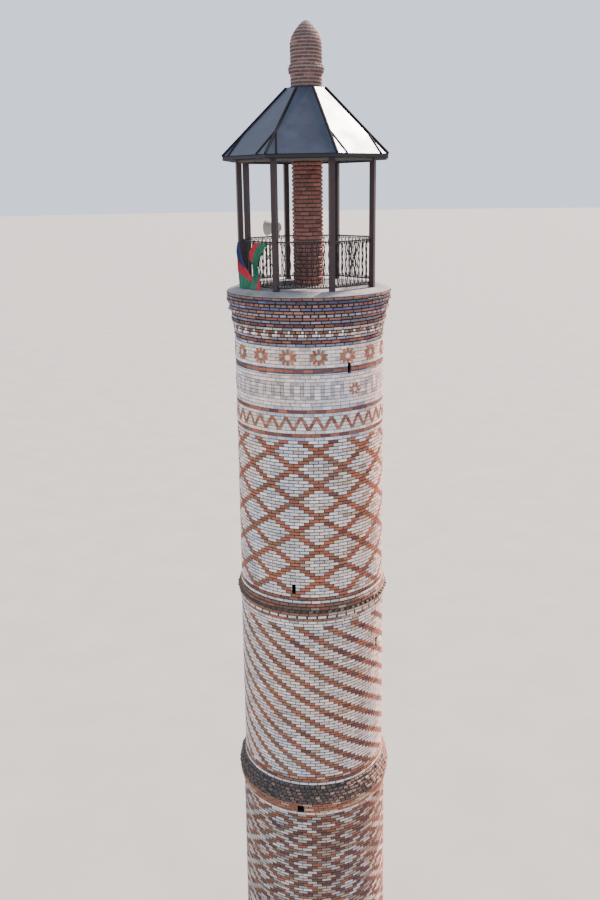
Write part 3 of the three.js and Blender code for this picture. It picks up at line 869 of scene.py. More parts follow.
def band_rows(top):
    """The bands above the lattice, from the top down: flowers, fret and zigzag between coloured courses"""
    flower_courses, zigzag_courses = 6, 4
    plain = [half_bond(48, k, "plain_cream") for k in range(9)]
    rows = []

    def add(bricks, courses=1.0, soot=0):
        head = rows[-1].bottom if rows else top
        height = courses * COURSE
        rows.append(Row(head - height, height, bricks, bed=0.011, gap=0.008, soot=soot))

    for bricks in plain[:flower_courses]:
        add(bricks)
    add(stretchers(50, 2, "dark_blue"), 0.35)
    add(stretchers(50, 2, "brown_red"), 0.9)
    add(stretchers(50, 2, "dark_blue"), 0.3)
    add(stretchers(50, 2, "pale_blue"), 0.45)
    for bricks in plain[:2] + [fret_bricks(pattern) for pattern in FRET] + plain[7:]:
        add(bricks)
    add(stretchers(50, 1, "pale_blue"))
    add(stretchers(50, 4, "brown_red"))
    add(stretchers(50, 2, "pale_blue"))
    for bricks in plain[:zigzag_courses]:
        add(bricks)
    add(stretchers(50, 3, "plain_cream"))
    add(stretchers(50, 0, "brown_red"), soot=0.25)
    add(stretchers(50, 2.5, "pale_blue"))
    return rows


def tier_1_rows():
    bands = band_rows(round(wall_head("tier_1"), 3))
    return lattice_rows(bands[-1].bottom) + bands


def stacked(wall, courses):
    """Rows from a list of courses, top one first, that share a wall's height evenly"""
    top = wall_head(wall)
    height = (top - wall_foot(wall)) / len(courses)
    return [Row(top - (i + 1) * height, height, **course) for i, course in enumerate(courses)]


def ring_1_rows():
    """A roll moulding with a dog-tooth course"""
    teeth, gap = 76, 0.3
    # The dog-tooth is blackened brick: dark with soot and painted shade away from the sun, and pink-tan on
    # the right as painted sunlight
    dog_tooth = around(teeth, 1.2, [(gap, 360 / teeth - gap, "blackened")])
    return stacked("ring_1", [
        dict(bricks=stretchers(50, 3, "brown_red"), soot=0.4),
        dict(bricks=stretchers(50, 6, "cream"), soot=0.1),
        dict(bricks=stretchers(52, 2, "brown"), rough=0.003, soot=0.45),
        dict(bricks=stretchers(52, 5, "brown"), rough=0.004, soot=0.65),
        dict(bricks=dog_tooth, turn=0.55, rough=0.004, soot=0.65),
        dict(bricks=stretchers(50, 4, "brown"), soot=0.25),
        dict(bricks=around(48, 3, [(0.5, 7.0, "cream")]), soot=0.1),
        dict(bricks=stretchers(50, 0, "brown"), soot=0.25),
        dict(bricks=stretchers(50, 3, "cream")),
    ])


def lower_ring_rows(wall):
    """A wider roll moulding, weathered black where it is damp, which is also painted shade on the side away
    from the sun, and pink-tan on the right as painted sunlight
    """
    rough = [dict(bricks=around(88, 1.3 * i, [(0.2, 3.9, "blackened")]), rough=0.011, turn=0.12, soot=0.34)
             for i in range(6)]
    return stacked(wall, [
        dict(bricks=stretchers(50, 1, "pinkish"), soot=0.1),
        dict(bricks=stretchers(50, 4, "brown_red"), soot=0.35),
        dict(bricks=stretchers(50, 2, "cream")),
        *rough,
        dict(bricks=stretchers(50, 5, "brown"), rough=0.003, soot=0.25),
        dict(bricks=stretchers(50, 2, "pinkish"), rough=0.002, soot=0.12),
        dict(bricks=stretchers(50, 6, "pinkish"), rough=0.002, soot=0.1),
        dict(bricks=stretchers(50, 3, "brown"), rough=0.002, soot=0.1),
        dict(bricks=stretchers(50, 0, "cream")),
    ])


STUD_COUNT = 37
STUD_BEARING = 4.4
STUD_COURSE = 10


def cornice_rows():
    """Stepped courses of glazed strips and headers, darkened all round by soot that is also painted shade,
    with joints dark with soot and painted shade, and places for white studs
    """
    pitch = 360 / STUD_COUNT
    beside_studs = [(1.2, pitch / 2, "brown"), (pitch / 2, pitch - 1.2, "brown")]
    under_studs = [(-3.3, 1.4, "white"), (1.4, 3.1, "white"), (3.1, pitch - 3.3, "brown")]
    # The cornice's heavy soot, the same all round, is also painted shade under the corbelled courses and
    # the platform's rim
    usual = {"bed": 0.023, "gap": 0.016, "rough": 0.005, "soot": 0.46}
    courses = [
        dict(bricks=stretchers(52, 2, "mauve"), soot=0.35),
        dict(bricks=stretchers(52, 5, "dark_blue")),
        dict(bricks=around(88, 1.5, [(0.2, 3.8, "orange")])),
        dict(bricks=stretchers(50, 1, "blue")),
        dict(bricks=stretchers(52, 3, "orange"), soot=0.5),
        dict(bricks=around(68, 0.5, [(0.2, 4.9, "lavender")])),
        dict(bricks=stretchers(40, 4, "orange")),
        dict(bricks=stretchers(50, 0.5, "slate")),
        dict(bricks=around(51, 3, [(0.1, 6.9, "brown_red")])),
        dict(bricks=stretchers(50, 2, "pale_blue")),
        dict(bricks=around(STUD_COUNT, STUD_BEARING, beside_studs), soot=0.45),
        dict(bricks=around(STUD_COUNT, STUD_BEARING, under_studs), soot=0.02),
        dict(bricks=stretchers(50, 5, "lavender")),
        dict(bricks=stretchers(50, 1, "brown_red"), soot=0.2),
        dict(bricks=stretchers(50, 4, "slate"), soot=0.15),
    ]
    return stacked("cornice", [{**usual, **course} for course in courses])


def base_rows():
    """Plain brown-red wall, with pale courses at its head and foot"""
    def bricks(k, count):
        pale = k in (1, count - 4, count - 2)
        return half_bond(52, k, "stained_cream" if pale else "burnt")
    return coursed("base", bricks, soot=0.22)


# Openings, which the bricks keep clear of


Opening = namedtuple("Opening", "low high bottom top side")


def stated_openings():
    """The slits and the square hole, from the boxes that the record states"""
    margin, margin_up = 0.005, 0.01
    found = []
    for entry in frame["record"]["physics"]["openings"]:
        if "slit" in entry["name"] or "hole" in entry["name"]:
            (x0, y0, z0), (x1, y1, z1) = entry["box_m"]
            if y1 - y0 > x1 - x0:
                side = "front" if y0 + y1 < 0 else "back"
                low, high = x0, x1
            else:
                side = "right" if x0 + x1 > 0 else "left"
                low, high = y0, y1
            found.append(Opening(low - margin, high + margin, z0 - margin_up, z1 + margin_up, side))
    return found


def opening_span(opening, radius):
    """Bearings between which an opening cuts a face of that radius"""
    ends = []
    for place in (opening.low, opening.high):
        other = math.sqrt(radius ** 2 - place ** 2)
        x, y = {"front": (place, -other), "back": (place, other),
                "right": (other, place), "left": (-other, place)}[opening.side]
        ends.append(bearing_of(x, y))
    first, last = sorted(ends)
    return (first, last) if last - first < 180 else (last, first + 360)


def arch_points(surround):
    """Half widths and rises of the doorway's pointed arch, widened by a surround, from springing to apex"""
    share = np.linspace(0, 1, 24)
    rise = 2 * share * (1 - share) * DOOR_SHOULDER + share ** 2 * (DOOR_RISE + surround)
    return (DOOR_HALF + surround) * (1 - share ** 2), rise


def door_half_width(height):
    """Half of the width that the doorway and its arch stones take at a height"""
    if height < DOOR_SPRINGING:
        return DOOR_HALF
    half, rise = arch_points(VOUSSOIR)
    return float(np.interp(height - DOOR_SPRINGING, rise, half, right=0))


def door_openings(row):
    """The doorway as it cuts one row, in a list that is empty above the arch"""
    narrowest = 0.02
    half = door_half_width(row.bottom + row.height / 2)
    return [Opening(-half, half, row.bottom, row.bottom + row.height, "front")] * (half > narrowest)


def clear_spans(start, end, spans):
    """What is left of a brick between two bearings beside the openings' spans"""
    left = [(start, end)]
    for low, high in spans:
        shift = 360 * round(((start + end) / 2 - (low + high) / 2) / 360)
        low, high = low + shift, high + shift
        kept = []
        for a, b in left:
            if high <= a or low >= b:
                kept.append((a, b))
            else:
                kept += [(a, low)] * (low > a) + [(high, b)] * (high < b)
        left = kept
    return left


# How damp a wall is halfway round, how much that rises on the side away from the sun and falls on the sunny
# side, and the least it is. The soot that follows it is partly painted shade, darker on the side away from
# the sun
DAMP_AND_SHADE, DAMP_AND_SHADE_SWING, DAMP_AND_SHADE_LEAST = 0.62, 0.75, 0.12


def soot_at(amount, bearing, rng, sheltered):
    """Less soot on the side that the sun dries, so the side away from the sun is darker, which is also
    painted shade, unless the wall is sheltered and shaded all round
    """
    turned = math.radians(bearing - SUNNY_BEARING)
    # The damp share also stands for painted shade: it darkens the side away from the sun
    damp = 1.0 if sheltered else np.clip(DAMP_AND_SHADE - DAMP_AND_SHADE_SWING * math.cos(turned), DAMP_AND_SHADE_LEAST, 1.0)
    return float(np.clip(amount * damp * rng.uniform(0.55, 1.3), 0, 1))


# Bricks shorter than this are left out beside an opening
SHORTEST = 0.018
# A larger turn than this is how a course is set, and a smaller one is how far its bricks are out by chance
CHANCE_TURN = 0.3


def lay_bricks(name, rows, profile, shape, seed, slot_name="patterned_brick", openings=(),
               with_door=False, sheltered=False):
    """All the bricks of a wall as one mesh"""
    settings = bpy.context.scene.minaret_bricks
    rng = np.random.default_rng(settings.seed + 50 + seed)
    placed = []
    for row in rows:
        middle = row.bottom + row.height / 2
        radius = radius_at(profile, middle)
        near = [o for o in openings if min(o.top, row.bottom + row.height) - max(o.bottom, row.bottom)
                > 0.3 * row.height]
        if with_door:
            near += door_openings(row)
        spans = [opening_span(opening, radius) for opening in near]
        joint = settings.joint if row.gap is None else row.gap
        bed = settings.bed if row.bed is None else row.bed
        for start, end, finish in row.bricks:
            for a, b in clear_spans(start, end, spans):
                length = math.radians(b - a) * radius - joint
                if length < SHORTEST:
                    continue
                bearing = (a + b) / 2
                turn = row.turn * (1 if row.turn > CHANCE_TURN else rng.normal()) + rng.normal(0, 0.006)
                placed.append(Placed(
                    bearing, radius + rng.normal(0, settings.scatter + row.rough), middle,
                    length * rng.uniform(0.985, 1.0), row.height - bed, finish, turn,
                    row.lean + rng.normal(0, 0.01), rng.normal(0, 0.004),
                    soot_at(row.soot, bearing, rng, sheltered)))
    return joined_copies(name, shape, placed, seed, slot_name)


def lay_walls(layouts, first_seed):
    """Lays the facing bricks of some walls, given each wall's rows"""
    settings = bpy.context.scene.minaret_bricks
    shape = brick_shape(BRICK_LENGTH, settings.depth, COURSE - settings.bed, settings.arris)
    for seed, (wall, rows) in enumerate(layouts.items(), start=first_seed):
        # The cornice keeps its soot all round, which is also painted shade, so it is not lighter on the
        # sunny side
        lay_bricks(f"{wall}_bricks", rows, outer_profile(WALLS[wall]), shape, seed,
                   openings=stated_openings(), with_door=wall == "base", sheltered=wall == "cornice")


def mortar_core(name, nodes, depth, material, inner=INNER_FACE + WALL_THICKNESS_LEAST):
    """A wall's solid with its outer face drawn back to the depth of the joints"""
    bm = bmesh.new()
    for node in nodes:
        bm.from_mesh(frame["nodes"][node].data)
    bmesh.ops.remove_doubles(bm, verts=bm.verts, dist=1e-5)
    for vertex in bm.verts:
        radius = vertex.co.xy.length
        if radius > inner - 0.005 and not ("cornice" in name and is_in_rebate(vertex.co)):
            vertex.co.xy *= max(radius - depth, radius / 2) / radius
    return add_piece(name, mesh_from(name, bm), material, nodes)


# Operators: one for each piece or group of like pieces


class MinaretOperator:
    """What the minaret's operators have in common"""

    bl_options = {"REGISTER", "UNDO"}


class MINARET_OT_mortar(MinaretOperator, bpy.types.Operator):
    """Draw the walls' faces back to the mortar behind the bricks"""

    bl_idname = "minaret.mortar"
    bl_label = "Mortar cores"

    def execute(self, context):
        recess = context.scene.minaret_bricks.recess
        dirty = (0.042, 0.036, 0.036), (0.024, 0.021, 0.021)
        mortar = mortar_surface("Weathered Mortar", *dirty)
        bands_from = wall_head("tier_1") - BAND_COURSES * COURSE
        banded = mortar_surface("Banded Mortar", *dirty, pale_from=bands_from)
        # The cornice's joints are darker still: soot, and painted shade in its deep joints under the
        # corbelled courses
        sooty_and_shaded = mortar_surface("Sooty Mortar", (0.020, 0.018, 0.028), (0.012, 0.011, 0.017))
        own = {"tier_1": (banded, recess), "cornice": (sooty_and_shaded, 1.4 * recess)}
        for wall, nodes in WALLS.items():
            if wall != "plinth":
                material, depth = own.get(wall, (mortar, recess))
                mortar_core(f"{wall}_mortar", nodes, depth, material)
        pale = mortar_surface("Pale Mortar", (0.27, 0.22, 0.215), (0.17, 0.14, 0.135))
        mortar_core("finial_mortar", ("finial",), 0.008, pale, inner=0.05)
        dark = mortar_surface("Raked Mortar", (0.045, 0.030, 0.029), (0.025, 0.018, 0.018))
        mortar_core("column_mortar", ("central_column",), 0.024, dark, inner=COLUMN_RADIUS)
        mortar_core("plinth_mortar", WALLS["plinth"], 0.02, mortar)
        return {"FINISHED"}


class MINARET_OT_tiers(MinaretOperator, bpy.types.Operator):
    """Lay the patterned bricks of the three tiers and of the base"""

    bl_idname = "minaret.tiers"
    bl_label = "Tier bricks"

    def execute(self, context):
        lay_walls({"base": base_rows(), "tier_3": tier_3_rows(), "tier_2": tier_2_rows(),
                   "tier_1": tier_1_rows()}, first_seed=0)
        return {"FINISHED"}


class MINARET_OT_rings(MinaretOperator, bpy.types.Operator):
    """Lay the bricks of the roll mouldings and of the cornice"""

    bl_idname = "minaret.rings"
    bl_label = "Moulding and cornice bricks"

    def execute(self, context):
        lay_walls({"ring_3": lower_ring_rows("ring_3"), "ring_2": lower_ring_rows("ring_2"),
                   "ring_1": ring_1_rows(), "cornice": cornice_rows()}, first_seed=10)
        self.studs()
        return {"FINISHED"}

    def studs(self):
        """Round white studs between the bricks of one course of the cornice"""
        width, depth, proud = 0.052, 0.04, 0.006
        row = cornice_rows()[STUD_COURSE]
        z = row.bottom + row.height / 2
        radius = radius_at(outer_profile(WALLS["cornice"]), z) + proud
        placed = [Placed(STUD_BEARING + 360 / STUD_COUNT * i, radius, z, width, width, "white")
                  for i in range(STUD_COUNT)]
        joined_copies("cornice_studs", disc_shape(12, depth, width), placed, 44)


class MINARET_OT_plinth(MinaretOperator, bpy.types.Operator):
    """Set the dressed stones of the plinth"""

    bl_idname = "minaret.plinth"
    bl_label = "Plinth stones"

    def execute(self, context):
        shape = brick_shape(length=0.7, depth=0.06, height=0.23, arris=0.008, bends=6)
        profile = outer_profile(WALLS["plinth"])
        chamfer = COURSE
        top = wall_head("plinth")
        half = (top - chamfer) / 2
        slope = radius_at(profile, 0) - radius_at(outer_profile(WALLS["base"]), top)
        rows = [Row(k * half, half, half_bond(16, k, "stone")) for k in range(2)]
        rows.append(Row(top - chamfer, chamfer + 0.01, stretchers(24, 5, "stone"), lean=slope / chamfer))
        lay_bricks("plinth_stones", rows, profile, shape, 20, "stone", with_door=True)
        return {"FINISHED"}


class MINARET_OT_door_arch(MinaretOperator, bpy.types.Operator):
    """Set the arch stones over the doorway"""

    bl_idname = "minaret.door_arch"
    bl_label = "Doorway arch"

    def execute(self, context):
        width, depth, joint, proud = 0.06, 0.06, 0.008, 0.004
        profile = outer_profile(WALLS["base"])
        widths, rises = arch_points(VOUSSOIR / 2)
        along = np.concatenate([[0], np.cumsum(np.hypot(np.diff(widths), np.diff(rises)))])
        count = round(along[-1] / width)
        placed = []
        for i in range(count):
            # The middle of each stone, and a place a little further on that gives its slope
            x, rise, nearby_x, nearby_rise = (
                np.interp(along[-1] * (i + step) / count, along, line)
                for step in (0.5, 0.6) for line in (widths, rises))
            slope = math.atan2(nearby_rise - rise, x - nearby_x)
            height = DOOR_SPRINGING + rise
            radius = radius_at(profile, height)
            for side in (1, -1):
                placed.append(Placed(math.degrees(math.asin(x / radius)) * side, radius + proud, height,
                                     width - joint, VOUSSOIR, "terracotta", roll=slope * side, soot=0.1))
        joined_copies("door_arch", brick_shape(width, depth, VOUSSOIR, 0.004), placed, 40)
        return {"FINISHED"}


class MINARET_OT_inlays(MinaretOperator, bpy.types.Operator):
    """Inlay the two rows of flowers and the slanting strokes of the zigzag"""

    bl_idname = "minaret.inlays"
    bl_label = "Flowers and zigzag"

    proud: FloatProperty(name="Proud", description="How far the inlays stand out from the bricks",
                         default=0.005, min=0.001, max=0.02, unit="LENGTH")
    depth: FloatProperty(name="Depth", description="How far the inlays reach into the wall",
                         default=0.03, min=0.01, max=0.1, unit="LENGTH")

    def execute(self, context):
        self.profile = outer_profile(WALLS["tier_1"])
        self.top = round(wall_head("tier_1"), 3)
        self.openings = stated_openings()
        self.flowers()
        self.zigzag()
        return {"FINISHED"}

    def clear_reach(self, bearing, z, reach, way):
        """How far a petal goes before it would cover a slit"""
        radius = radius_at(self.profile, z)
        tip_bearing, tip = bearing + math.degrees(reach * way.x / radius), z + reach * way.y
        for opening in self.openings:
            start, end = opening_span(opening, radius)
            if start - 1 < tip_bearing < end + 1 and opening.bottom < tip < opening.top:
                return (opening.top - z) / way.y
        return reach

    def petals(self, kind, bearing, z, radius, width):
        """The petals of one flower, from near its heart out, on a slightly flattened circle"""
        squat, inner = 0.87, 0.28 * kind.reach
        placed = []
        for j in range(kind.petals):
            angle = 2 * math.pi * (j + 0.5) / kind.petals
            way = Vector((math.cos(angle), squat * math.sin(angle)))
            outer = self.clear_reach(bearing, z, kind.reach, way)
            across, up = (inner + outer) / 2 * way
            placed.append(Placed(bearing + math.degrees(across / radius), radius, z + up,
                                 (outer - inner) * way.length, width, "petal",
                                 roll=-math.atan2(way.y, way.x)))
        return placed

    def flowers(self):
        petal_width, heart_width = 0.068, 0.105
        petals, hearts = [], []
        for kind in (LARGE_FLOWER, SMALL_FLOWER):
            scale = kind.reach / LARGE_FLOWER.reach
            z = self.top - kind.drop
            radius = radius_at(self.profile, z) + self.proud
            heart = heart_width * scale
            bearings = [kind.bearing + 360 / kind.count * k for k in range(kind.count)]
            for bearing in bearings:
                petals += self.petals(kind, bearing, z, radius, petal_width * scale ** 0.5)
            placed = [Placed(bearing, radius + 0.003, z, heart, heart, "heart") for bearing in bearings]
            hearts.append((disc_shape(12, self.depth, heart), placed))
        joined_copies("flower_petals", disc_shape(8, self.depth, petal_width), petals, 41)
        large, small = hearts
        joined_copies("small_flower_hearts", *small, 42)
        joined_copies("flower_hearts", *large, 42)

    def zigzag(self):
        """Strokes that lean left and right by turns, each stepped over some courses"""
        first_bearing, first_course = 4, 20
        width, levels, count = 0.075, 4, 32
        half_pitch = 180 / count
        height = COURSE - 0.004
        placed = []
        for k in range(count):
            for side in (1, -1):
                for level in range(levels):
                    z = self.top - (first_course + level + 0.5) * COURSE
                    radius = radius_at(self.profile, z) + self.proud
                    along = 2 * half_pitch * k + side * half_pitch * (level + 0.5) / levels
                    slant = -side * math.radians(half_pitch) * radius / (levels * COURSE)
                    placed.append(Placed(first_bearing + along, radius, z, width, height, "zigzag",
                                         slant=slant))
        joined_copies("zigzag_strokes", brick_shape(width, self.depth, height, 0.002), placed, 43)


class MINARET_OT_column(MinaretOperator, bpy.types.Operator):
    """Lay the middle column and the finial in round courses"""

    bl_idname = "minaret.column"
    bl_label = "Column and finial"

    depth: FloatProperty(name="Depth", description="How far the bricks reach into the column",
                         default=0.05, min=0.02, max=0.1, unit="LENGTH")

    def execute(self, context):
        self.column()
        self.finial()
        return {"FINISHED"}

    def shape(self, arris):
        return brick_shape(BRICK_LENGTH, self.depth, COLUMN_COURSE - 0.02, arris, bends=3)

    def column(self):
        """Ten rounded bricks a course, whose upright joints waver up the column"""
        bricks, waver = 10, 5
        count = round((ROOF_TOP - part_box("central_column")[0].z) / COLUMN_COURSE)
        height = ROOF_TOP / count
        rows = []
        for k in range(count):
            first = 180 / bricks * (k % 2) + waver * math.sin(1.7 * k)
            rows.append(Row(k * height, height - 0.007, stretchers(bricks, first, "column"),
                            rough=0.002, gap=0.005, bed=0.012))
        lay_bricks("column_bricks", rows, outer_profile(("central_column",)), self.shape(0.014), 30,
                   "red_brick")

    def finial(self):
        """Courses that narrow to a point, with fewer bricks as they do"""
        heights, radii = outer_profile(("finial",), least=0.01)
        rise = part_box("finial")[1].z - ROOF_TOP
        profile = heights + [ROOF_TOP + rise], radii + [0.0]
        count = round(rise / FINIAL_COURSE)
        height = rise / count
        rows = []
        for k in range(count):
            bottom = ROOF_TOP + k * height
            radius = radius_at(profile, ROOF_TOP + (k + 0.5) * height)
            bricks = max(4, round(2 * math.pi * radius / BRICK_LENGTH))
            step = radius_at(profile, bottom) - radius_at(profile, ROOF_TOP + (k + 1) * height)
            first = 180 / bricks * (k % 2) + 3 * k
            rows.append(Row(bottom, height - 0.012, stretchers(bricks, first, "finial"),
                            lean=step / height, gap=0.012, bed=0.013, soot=0.3))
        lay_bricks("finial_bricks", rows, profile, self.shape(0.005), 31, "red_brick")


class MINARET_OT_platform(MinaretOperator, bpy.types.Operator):
    """Finish the platform slab"""

    bl_idname = "minaret.platform"
    bl_label = "Platform"

    def execute(self, context):
        assign("platform_slab", concrete_surface())
        return {"FINISHED"}


class MINARET_OT_posts(MinaretOperator, bpy.types.Operator):
    """Paint the posts, the eave beam and the soffit, with painted shade on the beam's inner sides and on
    the dark soffit, and carry the posts up over the beam
    """

    bl_idname = "minaret.posts"
    bl_label = "Posts and beam"

    width: FloatProperty(name="Head width", description="Width of the posts where they cross the beam",
                         default=0.108, min=0.09, max=0.15, unit="LENGTH")

    def execute(self, context):
        paint = painted_metal_surface("Plum Paint", (0.030, 0.018, 0.021), rust=0.2, rough=0.45,
                                      dust=0.2, specular=0.35)
        low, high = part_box("eave_beam")
        size = (self.width, self.width, high.z - low.z - 0.002)
        heads = bmesh.new()
        for number in range(1, SIDES + 1):
            assign(f"post_{number}", paint)
            middle = middle_of(f"post_{number}")
            middle.z = (low.z + high.z) / 2
            turn = Matrix.Rotation(math.radians(post_bearing(number)), 4, "Z")
            add_box(heads, size, Matrix.Translation(middle) @ turn)
        add_piece("post_heads", mesh_from("post_heads", heads), paint)
        assign("eave_beam", beam_surface())
        # The soffit is coloured dark navy, which is painted shade under the eave
        shaded_board = painted_metal_surface("Soffit Board", (0.020, 0.024, 0.038), rust=0.05, rough=0.85,
                                      specular=0.08)
        assign("soffit", shaded_board)
        return {"FINISHED"}


class MINARET_OT_railings(MinaretOperator, bpy.types.Operator):
    """Forge the railing panels with their rings, wavy bars and crossed bars"""

    bl_idname = "minaret.railings"
    bl_label = "Railings"

    bar: FloatProperty(name="Bar", description="Thickness of the railing's thin bars", default=0.017,
                       min=0.004, max=0.03, unit="LENGTH")
    rail: FloatProperty(name="Rail", description="Height of the railing's level bars", default=0.028,
                        min=0.01, max=0.05, unit="LENGTH")
    ring: FloatProperty(name="Ring", description="Height of the small rings between the bars' ends",
                        default=0.045, min=0.02, max=0.15, unit="LENGTH")
    gaps: IntProperty(name="Gaps", description="Gaps between the upright bars of a panel", default=9, min=3)

    def execute(self, context):
        iron = painted_metal_surface("Wrought Iron", (0.006, 0.006, 0.008), rust=0.12, rough=0.5,
                                     metallic=0.2, dust=0.15)
        panel = self.panel()
        for number in range(1, SIDES + 1):
            node = f"railing_{number}"
            turn = Matrix.Rotation(math.radians(node_bearing(node)), 4, "Z")
            mesh = panel.copy()
            mesh.name = f"{node}_ironwork"
            mesh.transform(turn @ Matrix.Translation((0, -middle_of(node).xy.length, 0)))
            add_piece(f"{node}_ironwork", mesh, iron, (node,))
        bpy.data.meshes.remove(panel)
        return {"FINISHED"}

    def panel(self):
        """One panel in the plane y = 0, with x along the bay"""
        thickness = 0.016
        low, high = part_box("railing_1")
        middle = middle_of("railing_1")
        along = sideways(node_bearing("railing_1"))
        half = max(along.dot(point - middle) for point in node_points("railing_1"))
        bm = bmesh.new()
        lower, upper = low.z + self.rail, high.z - self.rail
        for z in (lower - self.rail / 2, upper + self.rail / 2):
            add_box(bm, (2 * half, thickness, self.rail), Matrix.Translation((0, 0, z)))
        edges = [edge for edge in bm.edges if edge.calc_length() > half]
        bmesh.ops.bevel(bm, geom=edges, offset=0.003, segments=1, profile=0.5, affect="EDGES", material=-1)
        for i in range(self.gaps):
            for z in (lower + self.ring / 2, upper - self.ring / 2):
                self.add_ring(bm, half * ((2 * i + 1) / self.gaps - 1), z)
        bmesh.ops.recalc_face_normals(bm, faces=bm.faces)
        # The bars come last: they face outwards as made, and their end caps are loose from them
        bars = self.swept(self.strands(half, lower, upper))
        bm.from_mesh(bars)
        bpy.data.meshes.remove(bars)
        return mesh_from("railing_panel", bm)

    def add_ring(self, bm, x, z):
        """A ring of square bar, a little thinner than the others, that stands in the panel's plane"""
        half = self.bar * 0.35
        radius = self.ring / 2 - half
        square = [bm.verts.new((x + radius + a * half, b * half, z))
                  for a, b in ((-1, -1), (1, -1), (1, 1), (-1, 1))]
        edges = [bm.edges.new((square[i], square[(i + 1) % 4])) for i in range(4)]
        bmesh.ops.spin(bm, geom=square + edges, cent=(x, 0, z), axis=(0, 1, 0), angle=2 * math.pi,
                       steps=12, use_merge=True)

    def strands(self, half, bottom, top):
        """Centre lines: upright bars of two strands that bow apart three times, and two crossed bars"""
        bows, bow_share, cross_share = 3, 0.19, 1.4
        pitch = 2 * half / self.gaps
        share = np.linspace(0, 1, 25)
        bow = bow_share * pitch * np.sin(bows * math.pi * share)
        cross = cross_share * pitch * np.cos(math.pi * share)
        lines = [pitch * (i - self.gaps / 2) + side * bow for i in range(1, self.gaps) for side in (1, -1)]
        lines += [cross, -cross]
        height = bottom + (top - bottom) * share
        return [[(x, 0, z) for x, z in zip(line, height)] for line in lines]

    def swept(self, lines):
        """Round bars along centre lines"""
        curve = bpy.data.curves.new("bars", "CURVE")
        curve.dimensions = "3D"
        curve.bevel_depth = self.bar / 2
        curve.bevel_resolution = 1
        curve.use_fill_caps = True
        for line in lines:
            spline = curve.splines.new("POLY")
            spline.points.add(len(line) - 1)
            for point, place in zip(spline.points, line):
                point.co = (*place, 1)
        holder = new_object("bars", curve)
        graph = bpy.context.evaluated_depsgraph_get()
        mesh = bpy.data.meshes.new_from_object(holder.evaluated_get(graph))
        bpy.data.objects.remove(holder)
        bpy.data.curves.remove(curve)
        return mesh


# How far the roof's seams meet the eave from the left and the right corner of a face, face by face
USUAL_FEET = (0.25, 0.2)
SEAM_FEET = {0: (0.213, 0.0), 1: (0.25, 0.19), 7: (0.18, 0.27)}
# The part of the way down a hip at which the seams leave it
SEAM_START = 0.66


